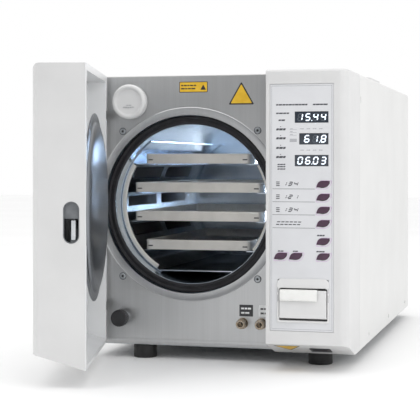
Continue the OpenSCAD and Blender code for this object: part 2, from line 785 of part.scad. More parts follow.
// the plastic cup in the door's free edge, with the pin that carries the strike roller
module strike_pocket() color("gray") on_door() {
    difference() {
        block([door_x1 - pocket_depth, pocket_y0 - 1.5, pocket_z0 - 1.5],
              [door_x1 - door_wall, pocket_y1 + 1.5, pocket_z1 + 1.5]);
        block([door_x1 - pocket_depth + 2, pocket_y0, pocket_z0 + 0.5],
              [door_x1, pocket_y1, pocket_z1 - 0.5]);
    }
    // guide block over the roller
    block([door_x1 - pocket_depth + 1, pocket_y0 - 0.5, pocket_z0 + 33],
          [door_x1 - door_wall - 0.5, pocket_y1 + 0.5, pocket_z1]);
    block([strike_x - 4, strike_y - 4, pocket_z0], [strike_x + 4, pocket_y1 + 0.5, pocket_z0 + 4.5]);
    translate([strike_x, strike_y, pocket_z0]) cylinder(r = strike_pin_r, h = 34);
}

module strike_roller() color("silver") on_door() difference() {
    translate([strike_x, strike_y, pocket_z0 + 4.8]) cylinder(r = strike_r, h = 26);
    translate([strike_x, strike_y, pocket_z0]) cylinder(r = strike_pin_r + running, h = 40);
}

// ---- hinge ----

module hinge_brackets() color("gray")
    for (z = lug_z) {
        block([x_left + sheet, y_plate - 1.5, z - 20], [x_left + 16, y_plate, z + 20]);
        block([hinge_x - lug_half, hinge_y, z - lug_t / 2], [hinge_x + lug_half, y_plate, z + lug_t / 2]);
        translate([hinge_x, hinge_y, z - lug_t / 2]) cylinder(r = lug_half, h = lug_t);
        translate([hinge_x, hinge_y, z - lug_t / 2 - knuckle_h])
            cylinder(r = hinge_pin_r, h = lug_t + 2 * knuckle_h);
    }

module door_knuckles() color("dimgray") on_door()
    for (z = lug_z, s = [-1, 1]) {
        z0 = s > 0 ? z + lug_t / 2 + 1 : z - lug_t / 2 - 1 - knuckle_h;
        difference() {
            block([x_left + door_wall, hinge_y - 8, z0],
                  [x_left + hinge_lip - sheet, y_lip - sheet, z0 + knuckle_h]);
            translate([hinge_x, hinge_y, z0 - 1]) cylinder(r = hinge_pin_r + running, h = knuckle_h + 2);
        }
    }

// ---- fittings on the front plate ----

module filter_socket() color("gray")
    turned_y(filter_pos.x, filter_pos.y,
             [[4, y_plate - 5], [10, y_plate - 5], [10, y_plate - 2], [16, y_plate - 2], [16, y_plate],
              [11.6, y_plate], [11.6, y_plate + 18], [4, y_plate + 18]]);

module filter_cap() color("white")
    turned_y(filter_pos.x, filter_pos.y,
             [[0, y_plate - 13.5], [filter_r - 6, y_plate - 14.5], [filter_r - 3, y_plate - 17],
              [filter_r - 1, y_plate - 16], [filter_r, y_plate - 13], [filter_r - 1, y_plate - 0.6],
              [filter_r - 4, y_plate - 0.6], [filter_r - 4, y_plate - 5.5], [0, y_plate - 5.5]]);

module knob_bush() color("dimgray")
    turned_y(knob_pos.x, knob_pos.y,
             [[3 + running, y_plate - 3.5], [9.5, y_plate - 3.5], [9.5, y_plate], [6, y_plate],
              [6, y_plate + 14], [3 + running, y_plate + 14]]);

module knob() color("black") {
    turned_y(knob_pos.x, knob_pos.y,
             [[0, y_plate - 25], [knob_r - 1.5, y_plate - 25], [knob_r, y_plate - 23.5],
              [knob_r, y_plate - 12], [knob_r - 3, y_plate - 10], [knob_r - 3, y_plate - 4],
              [0, y_plate - 4]]);
    rod_y(knob_pos.x, knob_pos.y, 3, y_plate - 5, y_plate + 20);
}

module coupling_bodies() color("gold")
    for (x = coupling_x)
        turned_y(x, coupling_z,
                 [[2.5, y_plate - 3], [2.5, y_plate + 26], [4, y_plate + 26], [4, y_plate + 8],
                  [coupling_out, y_plate + 8], [coupling_out, y_plate], [8.5, y_plate],
                  [8.5, y_plate - 2.5], [coupling_out, y_plate - 2.5], [coupling_out, y_plate - 17],
                  [coupling_bore, y_plate - 17], [coupling_bore, y_plate - 3]]);

module coupling_sleeve(x) color("silver")
    ring_y(x, coupling_z, sleeve_in, sleeve_r, y_plate - 16, y_plate - 5);

module coupling_sleeve_1() coupling_sleeve(coupling_x[0]);
module coupling_sleeve_2() coupling_sleeve(coupling_x[1]);

// ---- water, steam and air ----

module water_tanks() color("lightblue") {
    difference() {
        block([tank_x0, clean_y0, z_floor + pan_t], [tank_x1, clean_y1 - 2, tank_z1]);
        block([tank_x0 + tank_wall, clean_y0 + tank_wall, z_floor + pan_t + tank_wall],
              [tank_x1 - tank_wall, clean_y1 - 2 - tank_wall, tank_z1 - tank_wall]);
        fill_hole(tank_z1 - 5, tank_z1 + 1, -3);
    }
    difference() {
        block([tank_x0, clean_y1, z_floor + pan_t], [tank_x1, used_y1, tank_z1]);
        block([tank_x0 + tank_wall, clean_y1 + tank_wall, z_floor + pan_t + tank_wall],
              [tank_x1 - tank_wall, used_y1 - tank_wall, tank_z1 - tank_wall]);
        translate([fill_x, clean_y1 + 30, tank_z1 - 5]) cylinder(r = 8, h = 6);
    }
}

module fill_lid() color("white") {
    difference() {
        fill_hole(z_top, z_top + fill_h, 5);
        fill_hole(z_top - 1, z_top + fill_h - 2.5, 2);
    }
    difference() {
        fill_hole(z_top - 6, z_top + fill_h - 2, -slip);
        fill_hole(z_top - 7, z_top + fill_h - 3, -slip - 2);
    }
}

module vacuum_pump() color("darkgray") {
    x = x_right - 54;
    y = y_plate + 40;
    rod_y(x, z_floor + 50, 32, y, y + 120);
    block([x - 24, y + 10, z_floor + pan_t], [x + 24, y + 110, z_floor + 24]);
    block([x - 30, y + 118, z_floor + pan_t], [x + 30, y + 165, z_floor + 90]);
    for (s = [-1, 1]) rod_y(x + s * 15, z_floor + 96, 5, y + 125, y + 158);
    block([x - 20, y + 130, z_floor + 88], [x + 20, y + 150, z_floor + 96]);
}

module condenser() color("silver") {
    x0 = fan_x - 42;
    x1 = fan_x + 42;
    y1 = y_rear - sheet;
    for (i = [0 : 9])
        block([x0, y1 - 95 + i * 6, z_floor + 108], [x1, y1 - 94 + i * 6, z_floor + 192]);
    for (x = [-28, 0, 28], z = [-26, 0, 26]) rod_y(fan_x + x, fan_z + z, 3, y1 - 97, y1 - 38);
    for (x = [x0, x1 - 4]) block([x, y1 - 97, z_floor + pan_t], [x + 4, y1 - 38, z_floor + 192]);
    // shroud of the fan, with the spider that carries its pin
    ring_y(fan_x, fan_z, fan_r + 2, fan_r + 6, y1 - 42, y1);
    for (a = [45, 135]) translate([fan_x, 0, fan_z]) rotate([0, a, 0])
        block([-fan_r - 3, y1 - 36, -2.5], [fan_r + 3, y1 - 33, 2.5]);
    rod_y(fan_x, fan_z, fan_pin_r, y1 - 34, y1 - 6);
}

module fan_rotor() color("black") {
    y1 = y_rear - sheet;
    difference() {
        union() {
            rod_y(fan_x, fan_z, 13, y1 - 30, y1 - 8);
            for (i = [0 : 4]) translate([fan_x, 0, fan_z]) rotate([0, i * 72, 0])
                translate([10, y1 - 19, 0]) rotate([35, 0, 0])
                    block([0, -9, -1], [fan_r - 11, 9, 1]);
        }
        rod_y(fan_x, fan_z, fan_pin_r + running, y1 - 40, y1);
    }
}

module steam_generator() color("slategray") {
    x = x_left + 62;
    y = y_flange + 140;
    rod_y(x, z_floor + 42, 34, y, y + 170);
    for (k = [20, 130]) block([x - 22, y + k, z_floor + pan_t], [x + 22, y + k + 20, z_floor + 24]);
    for (k = [0 : 3]) {
        block([x - 18, y - 90 + k * 20, z_floor + pan_t], [x + 18, y - 74 + k * 20, z_floor + 40]);
        rod_y(x, z_floor + 47, 9, y - 90 + k * 20, y - 74 + k * 20);
    }
    block([x - 18, y - 92, z_floor + pan_t], [x + 18, y + 25, z_floor + 12]);
}

module power_inlet() color("black") difference() {
    union() {
        block([inlet_x - inlet_w, y_rear - 24, inlet_z - inlet_h],
              [inlet_x + inlet_w, y_rear, inlet_z + inlet_h]);
        block([inlet_x - 25, y_rear, inlet_z - 14], [inlet_x + 25, y_rear + 2.5, inlet_z + 14]);
    }
    block([inlet_x - 12, y_rear - 16, inlet_z - 8.5], [inlet_x + 12, y_rear + 3, inlet_z + 8.5]);
}

base_pan();
feet();
screws();
outer_cover();
rear_panel();
front_plate();
chamber_vessel();
chamber_flange();
door_gasket();
heater_bands();
insulation_jacket();
chamber_saddles();
tray_rack();
tray_1();
tray_2();
tray_3();
tray_4();
column_housing();
control_panel();
display_lenses();
control_board();
key_cycle_1();
key_cycle_2();
key_cycle_3();
key_cycle_4();
key_start();
key_power();
key_print();
key_set();
printer_frame();
printer_lid();
platen_roller();
paper_roll();
paper_strip();
switch_body();
rocker();
lock_bolt();
lock_actuator();
door_shell();
door_liner();
closing_plate();
plate_mount();
strike_pocket();
strike_roller();
hinge_brackets();
door_knuckles();
filter_socket();
filter_cap();
knob_bush();
knob();
coupling_bodies();
coupling_sleeve_1();
coupling_sleeve_2();
water_tanks();
fill_lid();
vacuum_pump();
condenser();
fan_rotor();
steam_generator();
power_inlet();
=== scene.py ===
# %% [markdown]
# # A benchtop steam autoclave with its door open
# The object is a white casing with a steel pressure chamber, four trays, a thick swing door and a
# control column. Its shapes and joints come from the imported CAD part. This lesson gives it its looks:
# finishes for the CAD pieces, and finer pieces where a turned, moulded or printed part needs more.

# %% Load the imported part
import math

import bmesh
import bpy
from mathutils import Matrix, Vector


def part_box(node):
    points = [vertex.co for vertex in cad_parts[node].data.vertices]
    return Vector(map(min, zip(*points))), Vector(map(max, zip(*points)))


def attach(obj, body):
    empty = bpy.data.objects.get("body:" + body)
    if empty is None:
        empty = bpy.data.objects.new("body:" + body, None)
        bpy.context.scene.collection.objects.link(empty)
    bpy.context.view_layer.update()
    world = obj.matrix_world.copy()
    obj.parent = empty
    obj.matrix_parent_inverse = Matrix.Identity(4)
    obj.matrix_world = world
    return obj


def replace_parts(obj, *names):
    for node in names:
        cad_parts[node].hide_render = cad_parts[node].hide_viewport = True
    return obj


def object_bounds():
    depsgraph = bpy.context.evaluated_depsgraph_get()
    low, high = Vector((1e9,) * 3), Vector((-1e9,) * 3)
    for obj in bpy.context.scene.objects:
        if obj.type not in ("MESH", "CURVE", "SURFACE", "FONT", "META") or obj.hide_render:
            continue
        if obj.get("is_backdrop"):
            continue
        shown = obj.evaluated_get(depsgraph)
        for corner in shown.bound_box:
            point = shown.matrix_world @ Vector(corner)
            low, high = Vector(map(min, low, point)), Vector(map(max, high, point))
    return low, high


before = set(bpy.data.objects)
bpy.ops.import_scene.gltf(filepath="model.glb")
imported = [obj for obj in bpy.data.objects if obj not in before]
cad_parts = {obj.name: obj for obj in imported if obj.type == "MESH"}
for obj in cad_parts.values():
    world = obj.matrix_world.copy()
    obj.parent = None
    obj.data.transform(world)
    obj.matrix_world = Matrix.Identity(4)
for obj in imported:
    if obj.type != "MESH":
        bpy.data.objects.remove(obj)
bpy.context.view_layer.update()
MM = 0.001


# %% [markdown]
# Lengths below are in millimetres, as on a drawing, and each piece starts from the box of a CAD node,
# so that it lands where the part says. `mm_box` gives that box. The hinge pin isn't a node of its own: it
# stands a little inside the brackets' left side and before the front plate.

# %% Read a CAD node's box in millimetres
def mm_box(name):
    """The lowest and highest corner of a CAD node, in millimetres."""
    low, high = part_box(name)
    return low / MM, high / MM


chamber_low, chamber_high = mm_box("chamber_flange")
CHAMBER_X = (chamber_low.x + chamber_high.x) / 2
CHAMBER_Z = (chamber_low.z + chamber_high.z) / 2
PLATE_Y = mm_box("outer_cover")[0].y
DOOR_ANGLE = math.radians(-76)
PIN_INSET, PIN_FORWARD = 6.1, 21
HINGE = Vector((mm_box("hinge_brackets")[0].x + PIN_INSET, PLATE_Y - PIN_FORWARD, 0))
print(f"chamber axis x {CHAMBER_X:.1f}, z {CHAMBER_Z:.1f}; front plate y {PLATE_Y:.1f}")

# %% [markdown]
# The door stands open by 76 degrees. A piece of the door is easier to draw with the door closed, where
# its faces lie along the axes, and is then swung out about the hinge. This matrix does the swing.

# %% The swing of the open door
SWING = (Matrix.Translation(HINGE) @ Matrix.Rotation(DOOR_ANGLE, 4, "Z")
         @ Matrix.Translation(-HINGE))
print("a point of the free edge, swung:", SWING @ Vector((74, -314, 221)))


# %% [markdown]
# ## Colours and nodes
# Paint makers give colours as sRGB hex codes, but a renderer adds light in linear values.
# Each material starts from a Principled shader, and `add_node` adds the nodes that vary it.

# %% Turn an sRGB hex code into a linear colour
def hex_linear(code):
    """The linear colour of an sRGB hex code such as #E8E9E7."""
    channels = [int(code[i:i + 2], 16) / 255 for i in (1, 3, 5)]
    return (*[c / 12.92 if c <= 0.04045 else ((c + 0.055) / 1.055) ** 2.4 for c in channels], 1.0)


print("mid grey is", round(hex_linear("#808080")[0], 3), "in linear light")


# %% Add a node with its settings and links
def add_node(tree, kind, inputs=None, stops=None, **settings):
    """Adds one shader node. An input that is another node's output is linked, and a value is set."""
    made = tree.nodes.new("ShaderNode" + kind)
    for name, value in settings.items():
        setattr(made, name, value)
    for name, value in (inputs or {}).items():
        if isinstance(value, bpy.types.NodeSocket):
            tree.links.new(value, made.inputs[name])
        else:
            made.inputs[name].default_value = value
    for spot, (place, code) in enumerate(stops or []):
        ramp = made.color_ramp.elements
        stop = ramp[spot] if spot < 2 else ramp.new(place)
        stop.position, stop.color = place, hex_linear(code)
    return made


# %% Start a finish
def start_finish(name, code, roughness, **surface):
    """A material with a Principled shader. Returns it, its tree, the shader and the place on the piece."""
    made = bpy.data.materials.new(name)
    made.use_nodes = True
    tree = made.node_tree
    tree.nodes.clear()
    shader = add_node(tree, "BsdfPrincipled", {"Base Color": hex_linear(code), "Roughness": roughness})
    for socket, value in surface.items():
        shader.inputs[socket.replace("_", " ")].default_value = value
    add_node(tree, "OutputMaterial", {"Surface": shader.outputs["BSDF"]})
    place = add_node(tree, "TexCoord").outputs["Object"]
    return made, tree, shader, place


# %% [markdown]
# A real surface is never one flat colour. Most finishes here share two habits: the colour drifts a
# little over a hand's width, and a fine relief breaks up the gloss. `weather` adds both, and each
# finish says the size of its own relief.

# %% Drift of colour and a fine relief
def weather(tree, shader, place, light, dark, drift_mm, relief_mm, depth_mm, strength=0.5, detail=3.0):
    """Lets the colour drift between two codes and adds a bump of the given grain and depth."""
    drift = add_node(tree, "TexNoise", {"Vector": place, "Scale": 1 / (drift_mm * MM), "Detail": 4.0})
    tint = add_node(tree, "ValToRGB", {"Fac": drift.outputs["Fac"]}, stops=[(0.3, dark), (0.7, light)])
    tree.links.new(tint.outputs["Color"], shader.inputs["Base Color"])
    grain = add_node(tree, "TexNoise", {"Vector": place, "Scale": 1 / (relief_mm * MM), "Detail": detail})
    bump = add_node(tree, "Bump", {"Height": grain.outputs["Fac"], "Strength": strength,
                                   "Distance": depth_mm * MM})
    tree.links.new(bump.outputs["Normal"], shader.inputs["Normal"])
    return grain, bump


# %% [markdown]
# ## Finishes of the casing
# The casing is powder-coated sheet steel: sprayed powder melts into a smooth skin with a faint orange
# peel about 2.5 mm across. The door, the column and the caps are injection-moulded ABS from a mould
# with a fine spark-eroded texture, so they look a little softer. The grain is drawn at 0.9 mm, coarser
# than the real 0.1 mm, so that it shows.

# %% Powder-coated steel and moulded ABS
powder_coat, tree, shader, place = start_finish("powder_coated_steel", "#D9D9D8", 0.34, IOR=1.5)
weather(tree, shader, place, "#DCDCDB", "#D6D6D5", 90, 2.5, 0.05, 0.25)

moulded_abs, tree, shader, place = start_finish("moulded_abs_white", "#D5D5D5", 0.38, IOR=1.53)
weather(tree, shader, place, "#D8D8D8", "#D2D2D2", 70, 0.9, 0.03, 0.3)

liner_abs, tree, shader, place = start_finish("vacuum_formed_abs_liner", "#E6E7E8", 0.3, IOR=1.53)
weather(tree, shader, place, "#E9EAEB", "#E2E3E4", 60, 3.0, 0.06, 0.3)

gloss_abs, tree, shader, place = start_finish("polished_abs_white", "#DADADA", 0.22, IOR=1.53)
weather(tree, shader, place, "#DDDDDD", "#D7D7D7", 40, 4.0, 0.03, 0.2)

# %% [markdown]
# The front plate is stainless steel brushed upright with an abrasive belt. The grooves run along Z, so
# the noise is squeezed across X and stretched along Z. Grooves are about 0.1 mm wide. They are
# drawn 0.6 mm wide, with broader streaks of 9 mm that the eye reads as brushing from a distance.
# Anisotropy spreads the reflection across the grooves, as the real ones do.

# %% Brushed stainless steel
brushed_steel, tree, shader, place = start_finish(
    "brushed_stainless_steel", "#BCBDBE", 0.36, Metallic=1.0, Anisotropic=0.5)
fine = add_node(tree, "Mapping", {"Vector": place, "Scale": (1 / 0.0006, 1 / 0.0006, 1 / 0.12)})
grooves = add_node(tree, "TexNoise", {"Vector": fine.outputs["Vector"], "Scale": 1.0, "Detail": 2.0})
broad = add_node(tree, "Mapping", {"Vector": place, "Scale": (1 / 0.009, 1 / 0.009, 1 / 0.4)})
streaks = add_node(tree, "TexNoise", {"Vector": broad.outputs["Vector"], "Scale": 1.0, "Detail": 3.0})
both = add_node(tree, "Mix", {0: 0.45, 2: grooves.outputs["Fac"], 3: streaks.outputs["Fac"]})
tone = add_node(tree, "ValToRGB", {"Fac": both.outputs[0]}, stops=[(0.25, "#B6B7B8"), (0.75, "#C2C3C4")])
tree.links.new(tone.outputs["Color"], shader.inputs["Base Color"])
gloss = add_node(tree, "MapRange", {"Value": both.outputs[0], "To Min": 0.34, "To Max": 0.42})
tree.links.new(gloss.outputs["Result"], shader.inputs["Roughness"])
bump = add_node(tree, "Bump", {"Height": grooves.outputs["Fac"], "Strength": 0.12, "Distance": 0.00003})
tree.links.new(bump.outputs["Normal"], shader.inputs["Normal"])

# %% [markdown]
# The chamber is electropolished: acid and current take the peaks off the metal, which leaves a slightly
# soft mirror with a cold tint. Rolling the tube left faint rings round its axis, about 38 mm apart: a wave
# texture repeats every tau / 20 of its scaled length. The disc in the door was spun on a lathe, so its
# rings are concentric and finer, drawn 1.6 mm apart.

# %% Electropolished and spun stainless steel
polished_steel, tree, shader, place = start_finish(
    "electropolished_stainless_steel", "#C3CAD2", 0.2, Metallic=1.0)
ROLL_PITCH = 0.0377
rings = add_node(tree, "TexWave", {"Vector": place, "Scale": math.tau / 20 / ROLL_PITCH, "Distortion": 1.2,
                                   "Detail": 2.0}, bands_direction="Y")
cloud = add_node(tree, "TexNoise", {"Vector": place, "Scale": 1 / 0.045, "Detail": 3.0})
tone = add_node(tree, "ValToRGB", {"Fac": cloud.outputs["Fac"]},
                stops=[(0.3, "#C2CFDD"), (0.7, "#DCE5EE")])
tree.links.new(tone.outputs["Color"], shader.inputs["Base Color"])
gloss = add_node(tree, "MapRange", {"Value": cloud.outputs["Fac"], "To Min": 0.14, "To Max": 0.26})
tree.links.new(gloss.outputs["Result"], shader.inputs["Roughness"])
bump = add_node(tree, "Bump", {"Height": rings.outputs["Fac"], "Strength": 0.12, "Distance": 0.0004})
tree.links.new(bump.outputs["Normal"], shader.inputs["Normal"])

spun_steel, tree, shader, place = start_finish("spun_stainless_steel", "#85888D", 0.32, Metallic=1.0)
centre = SWING @ Vector((CHAMBER_X, PLATE_Y, CHAMBER_Z)) * MM
shift = add_node(tree, "VectorMath", {0: place, 1: tuple(centre)}, operation="SUBTRACT")
reach = add_node(tree, "VectorMath", {0: shift.outputs["Vector"]}, operation="LENGTH")
turns = add_node(tree, "TexNoise", {"W": reach.outputs["Value"], "Scale": 1 / 0.0016, "Detail": 3.0},
                 noise_dimensions="1D")
tone = add_node(tree, "ValToRGB", {"Fac": turns.outputs["Fac"]},
                stops=[(0.3, "#7B7E83"), (0.7, "#92959A")])
tree.links.new(tone.outputs["Color"], shader.inputs["Base Color"])
bump = add_node(tree, "Bump", {"Height": turns.outputs["Fac"], "Strength": 0.3, "Distance": 0.00008})
tree.links.new(bump.outputs["Normal"], shader.inputs["Normal"])

# %% [markdown]
# The trays are anodised aluminium: the oxide skin is a matt warm grey with a grain drawn at 0.7 mm, coarser
# than the real one. The rack that carries them is plain folded stainless. Hidden sheet parts are
# galvanised, and zinc freezes in crystals about 9 mm across, which are the cells of a Voronoi texture.

# %% Anodised aluminium, plain stainless, zinc, cast metal and fins
anodised, tree, shader, place = start_finish("anodised_aluminium_tray", "#D9D6D0", 0.5, Metallic=0.35)
weather(tree, shader, place, "#DEDBD5", "#CFCCC6", 25, 0.7, 0.03, 0.35)

folded_steel, tree, shader, place = start_finish("folded_stainless_sheet", "#B9C1CA", 0.2, Metallic=1.0)
weather(tree, shader, place, "#C4CBD3", "#A9B2BC", 35, 1.6, 0.03, 0.25)

zinc, tree, shader, place = start_finish("galvanised_steel", "#A3A7AA", 0.42, Metallic=0.9)
spangle = add_node(tree, "TexVoronoi", {"Vector": place, "Scale": 1 / 0.009})
tone = add_node(tree, "ValToRGB", {"Fac": spangle.outputs["Color"]},
                stops=[(0.2, "#94989B"), (0.8, "#B2B6B9")])
tree.links.new(tone.outputs["Color"], shader.inputs["Base Color"])

cast_metal, tree, shader, place = start_finish("sand_cast_aluminium", "#84888B", 0.6, Metallic=0.8)
weather(tree, shader, place, "#8E9295", "#787C7F", 15, 0.9, 0.15, 0.6)

fin_metal, tree, shader, place = start_finish("rolled_aluminium_fins", "#C2C4C6", 0.35, Metallic=1.0)
weather(tree, shader, place, "#CCCED0", "#B4B6B8", 12, 1.2, 0.03, 0.3)

# %% [markdown]
# Seals and feet are rubber. The gasket is moulded silicone with a faint sheen and a talc bloom. The feet
# are a harder carbon-black rubber with a dry, slightly grainy skin.

# %% Rubber
silicone, tree, shader, place = start_finish("moulded_silicone_seal", "#242427", 0.5, IOR=1.41)
weather(tree, shader, place, "#2D2D31", "#1E1E21", 20, 0.8, 0.04, 0.4)

foot_rubber, tree, shader, place = start_finish("black_rubber_foot", "#161617", 0.62, IOR=1.52)
weather(tree, shader, place, "#1D1D1E", "#121213", 10, 0.8, 0.08, 0.6)

# %% [markdown]
# Black nylon makes the knob, the switch and the power inlet, and the pocket in the door's edge is a grey
# nylon. Both come from a spark-eroded mould with a grain of about 0.5 mm. Inside the casing there are blown
# polypropylene tanks, a jacket of needled glass wool and a circuit board under green solder mask.

# %% Nylon, polypropylene, wool and board
black_nylon, tree, shader, place = start_finish("moulded_black_nylon", "#202022", 0.42, IOR=1.53)
weather(tree, shader, place, "#27272A", "#1B1B1D", 12, 0.5, 0.05, 0.5)

grey_nylon, tree, shader, place = start_finish("moulded_grey_nylon", "#6B6E72", 0.4, IOR=1.53)
weather(tree, shader, place, "#76797D", "#5F6266", 12, 0.5, 0.05, 0.5)

tank_wall, tree, shader, place = start_finish("blown_polypropylene_tank", "#D9DEE0", 0.4, IOR=1.49)
weather(tree, shader, place, "#E2E7E9", "#CFD5D8", 60, 5.0, 0.2, 0.3)

jacket_wool, tree, shader, place = start_finish("needled_glass_wool", "#D8CFA8", 0.95, IOR=1.5)
weather(tree, shader, place, "#E2DAB8", "#C6BB90", 18, 1.5, 0.8, 0.9, 6.0)

board_green, tree, shader, place = start_finish("solder_masked_board", "#2F5E45", 0.35, IOR=1.5)
weather(tree, shader, place, "#36694E", "#28523C", 8, 1.0, 0.05, 0.4)

# %% [markdown]
# Small bright parts are plated. Chrome is a hard, cold mirror. The hose couplings are brass under nickel,
# and the nickel has worn thin, so that a warm tone shows through in patches a few millimetres wide.

# %% Chrome and nickel-plated brass
chrome, tree, shader, place = start_finish("chromed_steel", "#CFD2D6", 0.09, Metallic=1.0)
weather(tree, shader, place, "#D6D9DC", "#C4C8CC", 8, 0.9, 0.01, 0.2)

worn_nickel, tree, shader, place = start_finish("nickel_plated_brass", "#A3998C", 0.2, Metallic=1.0)
weather(tree, shader, place, "#A8A29A", "#93816A", 3, 0.6, 0.02, 0.3)

# %% [markdown]
# The key panel is a polyester film printed from behind, with a fine satin emboss. Its keys are small domes
# in aubergine ink. The display windows are dark acrylic, and their lit digits glow.

# %% Panel film, inks, windows and paper
panel_film, tree, shader, place = start_finish("embossed_polyester_film", "#D6D7DA", 0.36, IOR=1.57)
weather(tree, shader, place, "#D9DADD", "#D2D3D6", 50, 0.7, 0.02, 0.35)

key_ink, tree, shader, place = start_finish("aubergine_key_dome", "#3E2039", 0.3, IOR=1.57)
weather(tree, shader, place, "#45243F", "#371B31", 9, 0.7, 0.02, 0.35)

lilac_ink, tree, shader, place = start_finish("lilac_outline_ink", "#B795C0", 0.45, IOR=1.5)
weather(tree, shader, place, "#D3BBD8", "#C6ABCB", 6, 0.5, 0.01, 0.2)

dark_ink, tree, shader, place = start_finish("slate_screen_ink", "#44454B", 0.45, IOR=1.5)
weather(tree, shader, place, "#4D4E54", "#3C3D43", 6, 0.5, 0.01, 0.2)

faint_ink, tree, shader, place = start_finish("pale_grey_screen_ink", "#8D8F95", 0.45, IOR=1.5)
weather(tree, shader, place, "#96989E", "#84868C", 6, 0.5, 0.01, 0.2)

window_acrylic, tree, shader, place = start_finish("smoked_acrylic_window", "#363C44", 0.1, IOR=1.49)
weather(tree, shader, place, "#3C424B", "#31363E", 12, 5.0, 0.01, 0.1)

lit_digit, tree, shader, place = start_finish(
    "lit_display_segment", "#DDE9F6", 0.4, Emission_Color=hex_linear("#E4EEFA"), Emission_Strength=1.0)
weather(tree, shader, place, "#E4EEFA", "#D2E0F0", 3, 0.8, 0.01, 0.2)

unlit_digit, tree, shader, place = start_finish("unlit_display_segment", "#4B525B", 0.4, IOR=1.49)
weather(tree, shader, place, "#50575F", "#464C55", 3, 0.8, 0.01, 0.2)

paper, tree, shader, place = start_finish("thermal_paper", "#ECECEA", 0.75, IOR=1.5)
weather(tree, shader, place, "#EFEFED", "#E8E8E5", 14, 0.9, 0.05, 0.5)

# %% [markdown]
# Stickers are printed vinyl: yellow and black, with a little gloss. No words are put on them.

# %% Vinyl
yellow_vinyl, tree, shader, place = start_finish("yellow_vinyl_sticker", "#E3B72A", 0.34, IOR=1.53)
weather(tree, shader, place, "#E8BE35", "#DBAD22", 9, 2.0, 0.02, 0.3)

black_vinyl, tree, shader, place = start_finish("black_vinyl_sticker", "#26272B", 0.34, IOR=1.53)
weather(tree, shader, place, "#2E2F33", "#202125", 9, 2.0, 0.02, 0.3)

white_vinyl, tree, shader, place = start_finish("white_vinyl_sticker", "#EEEFEF", 0.34, IOR=1.53)
weather(tree, shader, place, "#F2F3F3", "#E9EAEA", 9, 2.0, 0.02, 0.3)
print("finishes made:", len(bpy.data.materials))

# %% [markdown]
# ## Finishes on the CAD pieces
# Most CAD pieces keep their own mesh. Their edges are sharp, and a sharp edge looks false because it
# catches no light, so a bevel of a fraction of a millimetre rounds them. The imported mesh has
# separate corners along each edge: a Weld modifier joins them before the bevel.

# %% Which finish each CAD piece has, and how soft its edges are in millimetres
FINISHES = {
    "base_pan": (zinc, 0.3), "feet": (foot_rubber, 0.8), "screws": (zinc, 0.15),
    "outer_cover": (powder_coat, 0.5), "rear_panel": (powder_coat, 0.4),
    "front_plate": (brushed_steel, 0), "chamber_vessel": (polished_steel, 0),
    "chamber_flange": (polished_steel, 0.3), "door_gasket": (silicone, 0),
    "heater_bands": (zinc, 0), "insulation_jacket": (jacket_wool, 0), "chamber_saddles": (zinc, 0.3),
    "tray_rack": (folded_steel, 0.15), "tray_1": (anodised, 0), "tray_2": (anodised, 0),
    "tray_3": (anodised, 0), "tray_4": (anodised, 0), "column_housing": (moulded_abs, 0),
    "control_panel": (panel_film, 0.2), "display_lenses": (window_acrylic, 0.2),
    "control_board": (board_green, 0), "printer_frame": (gloss_abs, 0.4), "printer_lid": (gloss_abs, 0.5),
    "platen_roller": (silicone, 0), "paper_roll": (paper, 0.3), "paper_strip": (paper, 0),
    "switch_body": (black_nylon, 0.3), "rocker": (black_nylon, 0.4), "lock_bolt": (chrome, 0.8),
    "lock_actuator": (black_nylon, 0.5), "door_shell": (moulded_abs, 0.6),
    "door_liner": (liner_abs, 0.5), "closing_plate": (spun_steel, 0), "plate_mount": (spun_steel, 0),
    "strike_pocket": (grey_nylon, 0.4), "strike_roller": (chrome, 0.3),
    "hinge_brackets": (powder_coat, 0.4), "door_knuckles": (powder_coat, 0.5),
    "filter_socket": (grey_nylon, 0.3), "filter_cap": (gloss_abs, 0), "knob_bush": (chrome, 0.3),
    "knob": (black_nylon, 0), "coupling_bodies": (worn_nickel, 0.2), "coupling_sleeve_1": (worn_nickel, 0),
    "coupling_sleeve_2": (worn_nickel, 0), "water_tanks": (tank_wall, 1.0), "fill_lid": (moulded_abs, 1.2),
    "vacuum_pump": (cast_metal, 1.0), "condenser": (fin_metal, 0), "fan_rotor": (black_nylon, 0.2),
    "steam_generator": (folded_steel, 0.6), "power_inlet": (black_nylon, 0.4),
}


def finish_cad(name, finish, soft_mm):
    """Gives a CAD piece its finish, and rounds its edges without touching its mesh."""
    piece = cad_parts[name]
    piece.data.materials.clear()
    piece.data.materials.append(finish)
    if "custom_normal" in piece.data.attributes:
        piece.data.attributes.remove(piece.data.attributes["custom_normal"])
    piece.data.polygons.foreach_set("use_smooth", [True] * len(piece.data.polygons))
    piece.modifiers.new("join_corners", "WELD").merge_threshold = 0.00001
    if soft_mm:
        bevel = piece.modifiers.new("soft_edges", "BEVEL")
        bevel.width, bevel.segments = soft_mm * MM, 2
        bevel.limit_method, bevel.angle_limit = "ANGLE", math.radians(40)
        bevel.harden_normals = True
    else:
        split = piece.modifiers.new("crisp_edges", "EDGE_SPLIT")
        split.split_angle = math.radians(32)


KEYS = sorted(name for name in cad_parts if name.startswith("key_"))
for name, (finish, soft_mm) in FINISHES.items():
    finish_cad(name, finish, soft_mm)
for name in KEYS:
    finish_cad(name, key_ink, 0)
print("CAD pieces finished:", len(FINISHES) + len(KEYS))

# %% [markdown]
# ## Building blocks for finer pieces
# Four ways of making are enough for this object. A turned piece is a profile spun round an axis, a
# lofted piece is a row of matching outlines joined in order, a flat piece is an outline given a
# thickness, and a strip is a rectangle of ink or tape. All of them end in `make_piece`.

